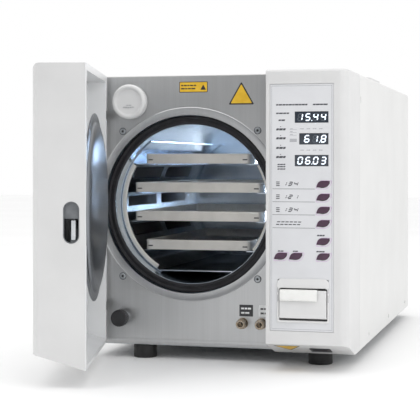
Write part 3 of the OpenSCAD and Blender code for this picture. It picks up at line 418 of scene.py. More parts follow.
# %% Make a piece from points and faces
def make_piece(name, points, faces, finish, body, swing=False, crease=32):
    """A mesh piece from points in millimetres. Edges sharper than the crease angle stay crisp."""
    mesh = bpy.data.meshes.new(name)
    mesh.from_pydata([(SWING @ Vector(p) if swing else Vector(p)) * MM for p in points], [], faces)
    work = bmesh.new()
    work.from_mesh(mesh)
    bmesh.ops.remove_doubles(work, verts=work.verts, dist=0.000002)
    bmesh.ops.recalc_face_normals(work, faces=work.faces)
    work.to_mesh(mesh)
    work.free()
    mesh.polygons.foreach_set("use_smooth", [True] * len(mesh.polygons))
    mesh.set_sharp_from_angle(angle=math.radians(crease))
    mesh.materials.append(finish)
    piece = bpy.data.objects.new(name, mesh)
    bpy.context.scene.collection.objects.link(piece)
    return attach(piece, body)


# %% Spin a profile round an axis along Y
def turned_piece(name, x, z, profile, finish, body, steps=128, flute=None, **more):
    """A solid of revolution about a line along Y. The profile is a closed loop of (radius, y)."""
    points, faces, count = [], [], len(profile)
    for step in range(steps):
        angle = math.tau * step / steps
        for radius, y in profile:
            cut = flute(angle, radius, y) if flute else 0
            points.append((x + (radius - cut) * math.cos(angle), y, z + (radius - cut) * math.sin(angle)))
    for step in range(steps):
        this, after = step * count, (step + 1) % steps * count
        for k in range(count):
            nxt = (k + 1) % count
            faces.append((this + k, this + nxt, after + nxt, after + k))
    return make_piece(name, points, faces, finish, body, **more)


# %% Loft through matching outlines
def lofted_piece(name, rings, finish, body, closed=False, **more):
    """Joins outlines with the same number of points. Open ends are capped, or the last meets the first."""
    count = len(rings[0])
    points = [p for ring in rings for p in ring]
    faces = []
    for r in range(len(rings) if closed else len(rings) - 1):
        this, after = r * count, (r + 1) % len(rings) * count
        faces += [(this + k, this + (k + 1) % count, after + (k + 1) % count, after + k)
                  for k in range(count)]
    if not closed:
        faces += [tuple(range(count)), tuple(range(len(points) - count, len(points)))]
    return make_piece(name, points, faces, finish, body, **more)


# %% A rectangle with its own radius at each corner
def rounded_outline(x0, z0, x1, z1, radii, lean=0.0, steps=8):
    """Points of a rectangle in X and Z. Radii go from low left round to high left; lean slants it."""
    corners = [(x0, z0, 1, 1, 180), (x1, z0, -1, 1, 270), (x1, z1, -1, -1, 0), (x0, z1, 1, -1, 90)]
    if not hasattr(radii, "__len__"):
        radii = [radii] * 4
    outline = []
    for (x, z, sx, sz, start), radius in zip(corners, radii):
        for step in range(steps + 1):
            angle = math.radians(start + 90 * step / steps)
            px = x + sx * radius + radius * math.cos(angle)
            pz = z + sz * radius + radius * math.sin(angle)
            outline.append((px + lean * (pz - z0), pz))
    return outline


def at_depth(outline, y):
    """The outline as points at one depth."""
    return [(x, y, z) for x, z in outline]


# %% Several flat shapes in one piece
def flat_piece(name, outlines, front, back, finish, body, **more):
    """Gives each outline in X and Z a thickness from front to back, all in one mesh."""
    points, faces = [], []
    for outline in outlines:
        first, count = len(points), len(outline)
        points += at_depth(outline, front) + at_depth(outline, back)
        faces += [tuple(range(first, first + count)), tuple(range(first + count, first + 2 * count))]
        faces += [(first + k, first + (k + 1) % count, first + count + (k + 1) % count, first + count + k)
                  for k in range(count)]
    return make_piece(name, points, faces, finish, body, **more)


def strip(x0, z0, x1, z1, lean=0.0):
    """A plain rectangle, slanted if asked."""
    return [(x0, z0), (x1, z0), (x1 + lean * (z1 - z0), z1), (x0 + lean * (z1 - z0), z1)]


print("a rounded outline has", len(rounded_outline(0, 0, 10, 10, 2)), "points")

# %% [markdown]
# ## The key panel
# On the real panel everything is printed on the back of one film: rules, captions, outlines and key
# faces. Ink has almost no thickness, so each mark is a flat piece 0.06 mm thick that lies on the film.
# Captions are drawn as plain dashes, because the words themselves don't matter.

# %% Rules and captions
panel_low = mm_box("control_panel")[0]
FILM_Y = panel_low.y
PANEL_X, PANEL_Z = panel_low.x + 2.5, panel_low.z + 2.5
INK_FRONT, INK_BACK = FILM_Y - 0.06, FILM_Y + 0.02
BORDER = 0.35


def on_panel(x0, z0, x1, z1, lean=0.0):
    """A strip placed from the panel's lower left corner."""
    return strip(PANEL_X + x0, PANEL_Z + z0, PANEL_X + x1, PANEL_Z + z1, lean)


def printed(name, outlines, ink):
    """Marks printed on the panel's film."""
    return flat_piece(name, outlines, INK_FRONT, INK_BACK, ink, "autoclave")


KEY_ROWS = [sum(corner.z for corner in mm_box(f"key_cycle_{k}")) / 2 for k in (1, 2, 3, 4)]
(left, under), (right, over) = (2.2, 2.6), (89.6, 350.4)
printed("panel_rules", [strip(PANEL_X + 3.5, z - 7.2, PANEL_X + 65.5, z - 6.65) for z in KEY_ROWS], dark_ink)
printed("panel_border", [
    on_panel(left, under, right, under + BORDER), on_panel(left, over - BORDER, right, over),
    on_panel(left, under, left + BORDER, over), on_panel(right - BORDER, under, right, over)], faint_ink)


def dashes(x, z, lengths, height, gap=0.9, lean=0.35):
    """A caption as a row of slanted dashes."""
    row = []
    for length in lengths:
        row.append(strip(x, z, x + length, z + height, lean))
        x += length + gap
    return row


# Each caption: along and up from the panel's corner, the dashes' lengths, their height and the gap.
CAPTIONS = [
    (8.5, 322.3, [3, 5, 4.2, 3.4, 5, 3, 5.2, 3.6, 4.4, 3.2], 2.1, 0.6),
    (62, 322.3, [3.6, 5.4, 4, 6.2], 2.1, 0.6), (8.5, 310.2, [3.6, 5.4, 4.6, 3.4], 2.0, 0.6),
    (12, 300.2, [3.6, 5.0], 2.2, 0.6), (68, 136.0, [2.8, 3.8, 3.0], 2.1, 0.5),
    (67, 113.2, [3.4, 4.0, 3.2], 1.9, 0.5), (11, 113.2, [3.4, 4.2], 1.7, 0.5),
    (33, 113.2, [2.8, 3.8], 1.7, 0.5),
    *[(8.5, up - 0.4, [3.8, 5.0, 3.6], 2.9, 0.6) for up in (287.2, 274.4, 260.6, 247.6)],
    *[(14.5, up + 4.4, [1.4], 1.1, 0.9) for up in (287.2, 274.4, 260.6, 247.6)],
    *[(10.5, up, [3.2, 4.2, 3.0], 1.7, 0.5) for up in (237.2, 234.0, 230.6)],
]
captions = []
for along, up, lengths, height, gap in CAPTIONS:
    captions += dashes(PANEL_X + along, PANEL_Z + up, lengths, height, gap)
printed("panel_captions", captions, dark_ink)

small_marks = []
for up in (288.4, 258.0):
    for along in (44, 53, 62, 71):
        small_marks += dashes(PANEL_X + along, PANEL_Z + up, [2.0, 2.6], 0.8, 0.4)
for up in (287.5, 283.5, 279.5):
    small_marks.append(on_panel(28.5, up, 38.5, up + 0.4, 0.3))
    small_marks.append(on_panel(29.0, up + 1.2, 33.0, up + 1.8, 0.3))
for up in (270.4, 272.0, 273.6):
    small_marks.append(on_panel(28.5, up, 38.8, up + 0.9, 0.3))
printed("panel_small_marks", small_marks, faint_ink)
print("captions:", len(captions), "small marks:", len(small_marks))

# %% [markdown]
# Numbers on the panel and in the windows are built from seven bars, as on a segment display. Each bar
# is a long hexagon. The lit bars glow, and the others show as faint ghosts, as they do on a real one.

# %% Seven-bar digits
BARS = {"0": "abcdef", "1": "bc", "2": "abged", "3": "abgcd", "4": "fgbc", "5": "afgcd",
        "6": "afgedc", "7": "abc", "8": "abcdefg", "9": "abcdfg"}


def bar(name, x, z, wide, tall, thick, lean):
    """One bar of a digit whose lower left corner is at x, z."""
    half, nip = tall / 2, thick * 0.12
    level = {"a": tall - thick / 2, "g": half, "d": thick / 2}
    if name in level:
        mid, left, right, t = level[name], thick / 2 + nip, wide - thick / 2 - nip, thick / 2
        shape = [(left, mid), (left + t, mid - t), (right - t, mid - t), (right, mid),
                 (right - t, mid + t), (left + t, mid + t)]
    else:
        mid = thick / 2 if name in "ef" else wide - thick / 2
        low, high = (thick / 2, half) if name in "ec" else (half, tall - thick / 2)
        low, high, t = low + nip, high - nip, thick / 2
        shape = [(mid, low), (mid + t, low + t), (mid + t, high - t), (mid, high), (mid - t, high - t),
                 (mid - t, low + t)]
    return [(x + px + lean * pz, z + pz) for px, pz in shape]


def number(text, x, z, wide, tall, thick, pitch, lean, ghost=False):
    """The bars of a row of digits, or the bars that stay dark."""
    shapes = []
    for digit in text:
        shown = set("abcdefg") - set(BARS[digit]) if ghost else BARS[digit]
        shapes += [bar(name, x, z, wide, tall, thick, lean) for name in sorted(shown)]
        x += pitch
    return shapes


lens_low, lens_high = mm_box("display_lenses")
LENS_Y = lens_low.y
lit, ghosts, points_lit = [], [], []
for row, (text, pitch) in enumerate([("1544", 11.2), ("618", 11.9), ("0603", 11.2)]):
    z = lens_high.z - 16 - 31 * row + 2.5
    x = lens_high.x - 3.4 - len(text) * pitch + (pitch - 8.4)
    lit += number(text, x, z, 7.6, 11, 1.7, pitch, 0.16)
    ghosts += number(text, x, z, 7.6, 11, 1.7, pitch, 0.16, ghost=True)
    dot = x + pitch * 2 - 1.6
    points_lit.append(strip(dot, z, dot + 1.3, z + 1.3, 0.16))
flat_piece("display_lit_bars", lit + points_lit, LENS_Y - 0.12, LENS_Y + 0.02, lit_digit, "autoclave")
flat_piece("display_dark_bars", ghosts, LENS_Y - 0.06, LENS_Y + 0.02, unlit_digit, "autoclave")

temperatures = []
for text, z in zip(("134", "121", "134"), KEY_ROWS):
    temperatures += number(text, PANEL_X + 16.5, z - 2.9, 6.6, 6.4, 1.5, 8.3, 0.42)
    temperatures += [strip(PANEL_X + 8.5, z - 2.9 + k * 2.55, PANEL_X + 13.6, z - 1.6 + k * 2.55, 0.42)
                     for k in range(3)]
temperatures += dashes(PANEL_X + 8.5, KEY_ROWS[3] - 2.7, [4.6] * 6, 1.4, 1.5, 0.42)
temperatures += dashes(PANEL_X + 10, KEY_ROWS[3] + 1.0, [4.6] * 6, 1.4, 1.5, 0.42)
printed("panel_row_numbers", temperatures, dark_ink)
print("lit bars:", len(lit))

# %% [markdown]
# A key is a dome in the film over a tact switch. Its face is a slanted lozenge with two round and two
# tight corners. The dome is a thin cap that stands 0.79 mm before the film, so that it still clears the
# film and its ink when it is pressed by 0.6 mm, and a short stem runs back through the panel. A lilac
# outline is printed round it, a little low and to the right.

# %% Key domes
KEY_WIDE, KEY_TALL, KEY_LEAN = 16.6, 9.4, 0.36
TIGHT, ROUND = 1.2, 4.4


def key_outline(x, z, grow):
    """The outline of a key's face, grown or shrunk."""
    wide, tall = KEY_WIDE / 2 + grow, KEY_TALL / 2 + grow
    radii = [max(r + grow, 0.3) for r in (TIGHT, ROUND, TIGHT, ROUND)]
    middle = x - KEY_LEAN * tall
    return rounded_outline(middle - wide, z - tall, middle + wide, z + tall, radii, KEY_LEAN)


outlines = []
for name in KEYS:
    low, high = mm_box(name)
    x, z = (low.x + high.x) / 2, (low.z + high.z) / 2
    rings = [at_depth(key_outline(x, z, grow), y) for grow, y in (
        (-3.2, high.y - 3), (-3.2, FILM_Y - 0.66), (0, FILM_Y - 0.67), (0, FILM_Y - 0.71),
        (-0.35, FILM_Y - 0.755), (-1.3, FILM_Y - 0.78), (-3.0, FILM_Y - 0.79))]
    dome = lofted_piece(name + "_dome", rings, key_ink, name, crease=50)
    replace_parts(dome, name)
    outer, inner = key_outline(x + 0.9, z - 0.9, 1.7), key_outline(x + 0.9, z - 0.9, 0.95)
    outlines.append((outer, inner))
points, faces = [], []
for outer, inner in outlines:
    first, count = len(points), len(outer)
    points += at_depth(outer, INK_FRONT) + at_depth(inner, INK_FRONT)
    points += at_depth(outer, INK_BACK) + at_depth(inner, INK_BACK)
    for a, b in ((0, 1), (1, 3), (3, 2), (2, 0)):
        faces += [(first + a * count + k, first + a * count + (k + 1) % count,
                   first + b * count + (k + 1) % count, first + b * count + k) for k in range(count)]
make_piece("key_outlines", points, faces, lilac_ink, "autoclave")
print("key outlines:", len(outlines))

# %% [markdown]
# ## The printer
# The printer is a moulded cassette that clips into the panel. Its bezel has generous top corners and
# a soft front edge, and the bay behind holds the paper roll. One loft goes from the back of the bay
# round the bezel's front and into the mouth.

# %% Printer bezel and bay
low, high = mm_box("printer_frame")
FACE_Y = low.y


def bezel_ring(grow, y, top=8.0, bottom=3.0):
    """The bezel's outline, shrunk by a negative grow, at one depth."""
    radii = [max(bottom + grow, 0.6)] * 2 + [max(top + grow, 0.6)] * 2
    return at_depth(rounded_outline(low.x - grow, low.z - grow, high.x + grow, high.z + grow, radii), y)


def mouth_ring(grow, y):
    """The mouth that the lid and the paper slot share."""
    return at_depth(rounded_outline(low.x + 3 - grow, low.z + 3.2 - grow, high.x - 3 + grow,
                                    low.z + 49.5 + grow, [1.5, 1.5, 3.5, 3.5]), y)


def bay_ring(y):
    """The bay behind the mouth, wide enough for the paper roll."""
    return at_depth(rounded_outline(low.x + 2, low.z + 2, high.x - 2, high.z - 2, 0.6), y)


rings = [bezel_ring(-1.6, high.y), bezel_ring(-1.6, FILM_Y), bezel_ring(0, FILM_Y - 0.02),
         bezel_ring(0, FACE_Y + 0.7), bezel_ring(-0.25, FACE_Y + 0.25), bezel_ring(-0.9, FACE_Y),
         mouth_ring(0.9, FACE_Y), mouth_ring(0.3, FACE_Y + 0.2), mouth_ring(0, FACE_Y + 0.8),
         mouth_ring(0, FACE_Y + 8.5), bay_ring(FACE_Y + 8.6), bay_ring(high.y - 1.5)]
bezel = lofted_piece("printer_cassette", rings, gloss_abs, "autoclave", crease=40)
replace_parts(bezel, "printer_frame")
roll_low, roll_high = mm_box("paper_roll")
roll_y, roll_z = (roll_low.y + roll_high.y) / 2, (roll_low.z + roll_high.z) / 2
spindle = [[(x, roll_y + r * math.cos(math.tau * k / 24), roll_z + r * math.sin(math.tau * k / 24))
            for k in range(24)]
           for x, r in ((low.x + 2, 4), (roll_low.x - 2, 4), (roll_low.x - 1.5, 3.9),
                        (roll_high.x + 1.5, 3.9), (roll_high.x + 2, 4), (high.x - 2, 4))]
lofted_piece("paper_roll_spindle", spindle, gloss_abs, "autoclave")
brackets = []
for x0, x1 in ((low.x + 1.2, low.x + 2.0), (high.x - 2.0, high.x - 1.2)):
    brackets.append(strip(x0, low.z + 30, x1, low.z + 40))
    brackets.append(strip(x0, low.z + 43, x1, low.z + 50))
flat_piece("bezel_side_marks", brackets, FACE_Y - 0.05, FACE_Y + 0.05, faint_ink, "autoclave")
print("bezel rings:", len(rings))

# %% [markdown]
# The paper comes out of the slot, lies over the lid and curls down under its own set. It is a thin sheet
# that follows one smooth line. The line is drawn as a list of (forward, up) steps, the end is cut by the
# tear bar's teeth, and a slight wave keeps it from looking like card.

# %% The paper tongue
lid_low, lid_high = mm_box("printer_lid")
strip_low, strip_high = mm_box("paper_strip")
LIP_Y, LIP_Z = lid_low.y, lid_high.z
path = [(9.5, -0.6), (6, 0.0), (3, 0.75), (1.0, 1.0), (-0.6, 0.75), (-1.9, -0.1), (-2.9, -1.6),
        (-3.5, -3.6), (-3.75, -6), (-3.8, -9), (-3.65, -12), (-3.2, -14.6)]
sheet_points, sheet_faces, across = [], [], 28
for side in (0, 0.22):
    for along, (forward, up) in enumerate(path):
        for k in range(across + 1):
            share = k / across
            sag = 0.25 * math.sin(math.pi * share) * along / len(path)
            tooth = -0.7 * (k % 2) if along == len(path) - 1 else 0
            sheet_points.append((strip_low.x + share * (strip_high.x - strip_low.x),
                                 LIP_Y + forward + side - sag, LIP_Z + up - side * 0.8 + tooth))
row = across + 1
layer = row * len(path)
for along in range(len(path) - 1):
    for k in range(across):
        a = along * row + k
        sheet_faces += [(a, a + 1, a + row + 1, a + row),
                        (layer + a, layer + a + row, layer + a + row + 1, layer + a + 1)]
rim = [*range(row), *[(i + 1) * row - 1 for i in range(1, len(path))],
       *[layer - 2 - i for i in range(across)], *[i * row for i in range(len(path) - 2, 0, -1)]]
for k, a in enumerate(rim):
    b = rim[(k + 1) % len(rim)]
    sheet_faces.append((a, b, layer + b, layer + a))
tongue = make_piece("paper_tongue", sheet_points, sheet_faces, paper, "printer_lid", crease=60)
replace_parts(tongue, "paper_strip")
print("paper width, mm:", round(strip_high.x - strip_low.x, 1))

# %% [markdown]
# ## Turned and moulded pieces on the front plate
# The gasket is a silicone ring with two soft lips that meet the door's disc. Its profile is drawn with
# round lips and spun in 160 steps, fine enough that the edge stays round in a close view.

# %% Gasket
low, high = mm_box("door_gasket")
inner, outer, front, back = chamber_high.x - CHAMBER_X - 25, high.x - CHAMBER_X, low.y, high.y


def lip(r0, r1, top, base, steps=8):
    """A half-round lip between two radii."""
    return [((r0 + r1) / 2 - (r1 - r0) / 2 * math.cos(math.pi * k / steps),
             base - (base - top) * math.sin(math.pi * k / steps)) for k in range(steps + 1)]


profile = ([(inner + 0.02, back)] + lip(inner + 0.02, inner + 5.2, front, front + 1.9)
           + [(inner + 6.2, front + 2.1), (outer - 5.4, front + 2.1)]
           + lip(outer - 4.6, outer, front + 0.2, front + 1.9) + [(outer, back)])
ring = turned_piece("gasket_ring", CHAMBER_X, CHAMBER_Z, profile, silicone, "autoclave", 160)
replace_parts(ring, "door_gasket")
print(f"gasket from radius {inner:.1f} to {outer:.1f} mm")

# %% [markdown]
# The bacteriological filter has a white moulded cap with a raised, rounded rim and a slightly dished face.
# Its rim has shallow finger grips on the outside, 36 round it.

# %% Filter cap
def seen_from_front(name):
    """The middle of a node in X and Z, half its width, its front and its back."""
    low, high = mm_box(name)
    return (low.x + high.x) / 2, (low.z + high.z) / 2, (high.x - low.x) / 2, low.y, high.y


x, z, radius, front, back = seen_from_front("filter_cap")
profile = [(0.01, front + 4.0), (radius * 0.4, front + 3.7), (radius - 8.5, front + 2.9),
           (radius - 7.2, front + 2.2), (radius - 6.2, front + 0.9), (radius - 4.8, front + 0.15),
           (radius - 3.2, front + 0.1), (radius - 1.6, front + 0.8), (radius - 0.5, front + 2.2),
           (radius, front + 4.2), (radius - 0.1, front + 9), (radius - 0.4, back - 1.6),
           (radius - 1.4, back - 0.7), (radius - 4, back - 0.7), (radius - 4, front + 10.5),
           (0.01, front + 10.5)]


def waves(count, depth, angle):
    """How deep a row of evenly spaced cosine grooves cuts at one angle."""
    return depth * (0.5 + 0.5 * math.cos(count * angle))


def finger_grips(angle, r, y):
    """Shallow grips on the cap's outer wall."""
    return waves(36, 0.25, angle) if r > radius - 0.3 and y > front + 4 else 0


cap = turned_piece("filter_cap_face", x, z, profile, gloss_abs, "filter_cap", 216, finger_grips, crease=40)
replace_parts(cap, "filter_cap")
marks = [strip(x - 4, z - 5.6, x - 0.6, z - 4.9), strip(x + 0.2, z - 5.6, x + 4, z - 4.9)]
for k in range(5):
    left, under = x - 9 + k * 3.6, z - 9.5 + abs(k - 2) * 0.4
    marks.append(strip(left, under, left + 2.6, under + 0.9))
flat_piece("filter_cap_marks", marks, front + 3.1, front + 4.4, faint_ink, "filter_cap")
print("cap diameter, mm:", round(2 * radius, 1))

# %% [markdown]
# The black knob is moulded with 24 flutes for grip and a small dished face. The flutes cut only the
# straight outer wall, and end where the knob's edge rounds off.

# %% Fluted knob
x, z, radius, front, back = seen_from_front("knob")
profile = [(0.01, front + 0.7), (radius - 4.5, front + 0.6), (radius - 3.4, front),
           (radius - 1.6, front + 0.1), (radius - 0.5, front + 0.7), (radius, front + 1.8),
           (radius, front + 12.2), (radius - 0.8, front + 13.4), (radius - 3, front + 14.8),
           (radius - 3, front + 21), (3, front + 21), (3, back), (0.01, back)]


def flutes(angle, r, y):
    """Grip flutes on the knob's outer wall."""
    return waves(24, 0.45, angle) if r > radius - 0.2 else 0


knob = turned_piece("knob_fluted", x, z, profile, black_nylon, "knob", 192, flutes, crease=40)
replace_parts(knob, "knob")
print("knob diameter, mm:", round(2 * radius, 1))

# %% [markdown]
# A quick coupling's sleeve is knurled so that wet fingers can pull it. Thirty fine teeth stand round two
# bands, with a plain waist between them. The two sleeves are alike.

# %% Coupling sleeves
def knurl(angle, r, y):
    """Fine teeth on the two raised bands."""
    return waves(30, 0.22, angle) if r > radius - 0.1 else 0


for name in ("coupling_sleeve_1", "coupling_sleeve_2"):
    x, z, radius, front, back = seen_from_front(name)
    hole = radius - 1.5
    profile = [(hole, front), (radius - 0.7, front), (radius - 0.2, front + 0.6), (radius, front + 1.0),
               (radius, front + 3.6), (radius - 0.5, front + 4.1), (radius - 0.5, front + 6.4),
               (radius, front + 6.9), (radius, back - 1.0), (radius - 0.6, back), (hole, back)]
    sleeve = turned_piece(name + "_knurled", x, z, profile, worn_nickel, name, 180, knurl, crease=25)
    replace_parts(sleeve, name)
print("sleeve diameter, mm:", round(2 * radius, 1))

# %% [markdown]
# ## Stickers
# The plate carries four printed stickers. They are plain here: a triangle with a dark border, a bar with
# a dark border, a black square and a white square with dashes for their words.

# %% Stickers on the plate
STICK_Y = PLATE_Y - 0.02


def triangle(x, z, side, radius=1.2, steps=5):
    """An upright triangle with rounded corners, by the middle of its base."""
    tall = side * math.sqrt(3) / 2
    corners = [(x - side / 2, z, 210), (x + side / 2, z, 330), (x, z + tall, 90)]
    middle = Vector((x, z + tall / 3))
    outline = []
    for cx, cz, facing in corners:
        heart = Vector((cx, cz)) + (middle - Vector((cx, cz))).normalized() * 2 * radius
        for k in range(steps + 1):
            angle = math.radians(facing - 60 + 120 * k / steps)
            outline.append((heart.x + radius * math.cos(angle), heart.y + radius * math.sin(angle)))
    return outline


# How far each layer of print stands before the plate, and where its back lies.
LAYERS = [(0.12, 0), (0.18, 0.1), (0.22, 0.16)]


def sticker(name, outlines, layer, finish):
    """One layer of a sticker on the plate: its vinyl, or the print on it."""
    front, back = LAYERS[layer]
    return flat_piece(name, outlines, STICK_Y - front, STICK_Y - back, finish, "autoclave")


def caption_lines(x, lower, lower_dashes, upper, upper_dashes, height=2.6):
    """Two lines of upright dashes in the place of words."""
    return dashes(x, lower, lower_dashes, height, 1.0, 0) + dashes(x, upper, upper_dashes, height, 1.0, 0)


sticker("triangle_sticker_border", [triangle(18.7, 388.4, 40)], 0, black_vinyl)
sticker("triangle_sticker", [triangle(18.7, 390.4, 33.2, 0.8)], 1, yellow_vinyl)
sticker("bar_sticker_border", [rounded_outline(-79, 407.8, -34, 424.2, 1.2)], 0, black_vinyl)
sticker("bar_sticker", [rounded_outline(-78, 408.8, -35, 423.2, 0.8)], 1, yellow_vinyl)
words = caption_lines(-76, 412.6, [5.4, 3.2, 4.8, 6.0], 417.4, [3.4, 4.6, 3.0, 5.2, 3.6], 2.0)
sticker("bar_sticker_marks", words + [triangle(-41, 411.6, 9, 0.4)], 2, black_vinyl)
for name, left, words_x, vinyl, print_ink in (("waste", 15.7, 18.4, black_vinyl, white_vinyl),
                                              ("clean", 45.8, 48.4, white_vinyl, black_vinyl)):
    sticker(name + "_sticker", [rounded_outline(left, 68.4, left + 21.1, 86.0, 0.8)], 0, vinyl)
    words = caption_lines(words_x, 72.4, [5.2, 6.4], 79, [4.6, 3.6, 5.2])
    sticker(name + "_sticker_marks", words, 1, print_ink)
print("stickers done")

# %% [markdown]
# ## The control column's soft edges
# The column is one moulding. Its top edges are rounded by 4 mm and its front left edge by 2.5 mm, far more
# than the hidden ones inside. A Bevel modifier would round all of them alike, so this piece is a copy of
# the CAD mesh: flat faces are merged, and only the edges that a rule picks are bevelled.

# %% Round chosen edges of a copy
def softened_copy(node, name, finish, rounds, body):
    """Copies a CAD mesh and rounds the edges that each rule picks. A rule is (radius in mm, test)."""
    work = bmesh.new()
    work.from_mesh(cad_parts[node].data)
    bmesh.ops.remove_doubles(work, verts=work.verts, dist=0.00001)
    bmesh.ops.dissolve_limit(work, angle_limit=math.radians(1), verts=work.verts, edges=work.edges)
    for radius, test in rounds:
        chosen = []
        for edge in work.edges:
            if len(edge.link_faces) == 2 and edge.calc_face_angle(0) > math.radians(25):
                if test(edge.verts[0].co / MM, edge.verts[1].co / MM):
                    chosen.append(edge)
        bmesh.ops.bevel(work, geom=chosen, offset=radius * MM, offset_type="OFFSET", segments=4,
                        profile=0.5, affect="EDGES", clamp_overlap=True)
        print(f"{name}: {len(chosen)} edges rounded by {radius} mm")
    mesh = bpy.data.meshes.new(name)
    work.to_mesh(mesh)
    work.free()
    mesh.polygons.foreach_set("use_smooth", [True] * len(mesh.polygons))
    mesh.set_sharp_from_angle(angle=math.radians(30))
    mesh.materials.append(finish)
    copy = bpy.data.objects.new(name, mesh)
    bpy.context.scene.collection.objects.link(copy)
    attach(copy, body)
    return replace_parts(copy, node)


column_low, column_high = mm_box("column_housing")


def near(a, b, axis, value, reach=0.1):
    """True if both ends of an edge lie at this value along the axis."""
    return abs(a[axis] - value) < reach and abs(b[axis] - value) < reach


def top_edge(a, b):
    """An edge of the top: any that stops before the cover's joint, and the whole right one."""
    before_joint = max(a.y, b.y) < column_high.y - 1
    return near(a, b, 2, column_high.z) and (before_joint or near(a, b, 0, column_high.x))


def front_left_edge(a, b):
    """The upright edge between the front and the side that faces the chamber."""
    return near(a, b, 0, column_low.x) and near(a, b, 1, column_low.y)


column = softened_copy("column_housing", "column_moulding", moulded_abs,
                       [(4.0, top_edge), (2.5, front_left_edge)], "autoclave")

# %% [markdown]
# ## The strike pocket
# The door's free edge has a long round-ended opening, with a roller behind it that the lock bolt pulls
# on. A thin grey rim of nylon lines its mouth. It is drawn with the door closed and swung.

# %% Strike pocket mouth
EDGE_X = 74.0
POCKET_Y, POCKET_Z = (PLATE_Y - 34.5, PLATE_Y - 13), (CHAMBER_Z - 44, CHAMBER_Z + 12)


def pocket_ring(grow, x):
    """The pocket's round-ended outline in the door's free edge at one x."""
    y0, y1 = POCKET_Y[0] - grow, POCKET_Y[1] + grow
    outline = rounded_outline(y0, POCKET_Z[0] - grow, y1, POCKET_Z[1] + grow, (y1 - y0) / 2 - 0.05, 0, 12)
    return [(x, y, z) for y, z in outline]


RIM_WALL = 1.3
rim = [pocket_ring(grow, EDGE_X + out) for grow, out in (
    (-0.06, -0.1), (-0.2, 0.4), (-0.7, 0.5), (-1.2, 0.1), (-RIM_WALL, -2.6), (-0.06, -2.6))]
lofted_piece("pocket_rim", rim, grey_nylon, "door", closed=True, swing=True)
print("pocket opening, mm:", [round(high - low - 2 * RIM_WALL, 1) for low, high in (POCKET_Y, POCKET_Z)])

# %% [markdown]
# ## The closing disc
# The door's disc is spun and turned steel: a flat rim that seals, a rolled edge and a domed middle that
# fits inside the gasket. A spun part has soft corners, so each corner of the profile is drawn with two or
# three points.

# %% Closing disc
low, high = mm_box("closing_plate")
radius = (high.z - low.z) / 2
face = PLATE_Y - 5.5
back = face - 3
profile = [(0.01, back), (radius - 2.2, back), (radius - 0.6, back + 0.5), (radius, back + 1.4),
           (radius, face - 0.8), (radius - 0.5, face - 0.15), (radius - 1.4, face), (radius - 11.4, face),
           (radius - 12.4, face + 0.3), (radius - 13.3, face + 1.5), (radius - 14.6, face + 2.9),
           (radius - 18, face + 4.6), (radius - 24, face + 6.3), (radius - 32, face + 7.8),
           (radius - 44, face + 9.5), (radius - 60, face + 11), (radius - 80, face + 12.1),
           (radius - 105, face + 12.9), (0.01, face + 13.1)]
disc = turned_piece("closing_disc_spun", CHAMBER_X, CHAMBER_Z, profile, spun_steel, "closing_disc", 160,
                    swing=True)
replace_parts(disc, "closing_plate")
print("disc diameter, mm:", round(2 * radius, 1))

# %% [markdown]
# ## Trays
# A tray is one pressed sheet with round corners and a hemmed rim, folded over inwards so that it is safe
# to hold. The loft climbs the outside, rolls over the hem and goes down to the floor, which has a shallow
# raised field. The two handle slots in the front wall are not cut: two black patches paint the shade in them.

# %% Pressed trays
def tray_ring(low, high, shrink, z, corner=7.0):
    """The tray's outline, shrunk on all sides, at one height."""
    outline = rounded_outline(low.x + shrink, low.y + shrink, high.x - shrink, high.y - shrink,
                              max(corner - shrink, 0.5), 0, 6)
    return [(x, y, z) for x, y in outline]


for name in ("tray_1", "tray_2", "tray_3", "tray_4"):
    low, high = mm_box(name)
    top, floor_z = high.z, low.z
    outside = [(2.2, floor_z), (0.9, floor_z + 0.4), (0.5, floor_z + 1.6), (0.35, top - 2.6)]
    hem = [(0, top - 2.0), (0, top - 0.7), (0.5, top), (1.9, top), (2.4, top - 0.6), (2.4, top - 2.0)]
    inside = [(1.7, top - 2.7), (1.7, floor_z + 2.6), (2.3, floor_z + 1.5), (3.6, floor_z + 1.2),
              (14, floor_z + 1.2), (15.5, floor_z + 1.9), (17, floor_z + 2.0)]
    rings = [tray_ring(low, high, shrink, z) for shrink, z in outside + hem + inside]
    tray = lofted_piece(name + "_pressed", rings, anodised, name, crease=45)
    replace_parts(tray, name)
    # The black patches are painted shade standing for the handle slots' holes.
    slot_shade_patches = []
    for x in (low.x + 4.5, high.x - 12.5):
        slot_shade_patches.append(rounded_outline(x, floor_z + 5.2, x + 8, floor_z + 7.0, 0.8, 0, 3))
    flat_piece(name + "_handle_slots_painted_shade", slot_shade_patches, low.y + 0.28, low.y + 0.5, black_nylon, name)
print("trays pressed")

# %% [markdown]
# ## Small pieces under, behind and beside
# These are seldom seen, but they make the casing real from any side: the sloping face's sticker, the fan's
# wire guard, the inlet's pins, and the screws that hold the panels. The column's underside slopes, so its
# sticker is laid out along the slope and stood off square to it.

# %% Sticker on the sloping face
SLOPE_RUN, SLOPE_RISE = 65.0, 21.0
slope_long = math.hypot(SLOPE_RUN, SLOPE_RISE)
run, rise = SLOPE_RUN / slope_long, SLOPE_RISE / slope_long


def on_slope(x, along, out):
    """A point on the sloping underside, by its distance from the front edge and out of the face."""
    return (x, column_low.y + along * run - out * rise,
            column_low.z + SLOPE_RISE - along * rise - out * run)


def slope_sticker(name, outline, out, finish):
    """A sticker on the slope, 0.12 mm thick."""
    rings = [[on_slope(x, s, out) for x, s in outline], [on_slope(x, s, out + 0.12) for x, s in outline]]
    lofted_piece(name, rings, finish, "autoclave")


slope_sticker("slope_sticker_border", triangle(104, 12, 40), 0.01, black_vinyl)
slope_sticker("slope_sticker", triangle(104, 14, 33.4, 0.8), 0.1, yellow_vinyl)
print(f"slope: {slope_long:.1f} mm long")

# %% [markdown]
# The guard over the fan is made of plated round wire: five rings with four spokes welded across them. A
# ring is a small circle spun round the fan's axis, and a spoke is the same kind of circle, lofted.

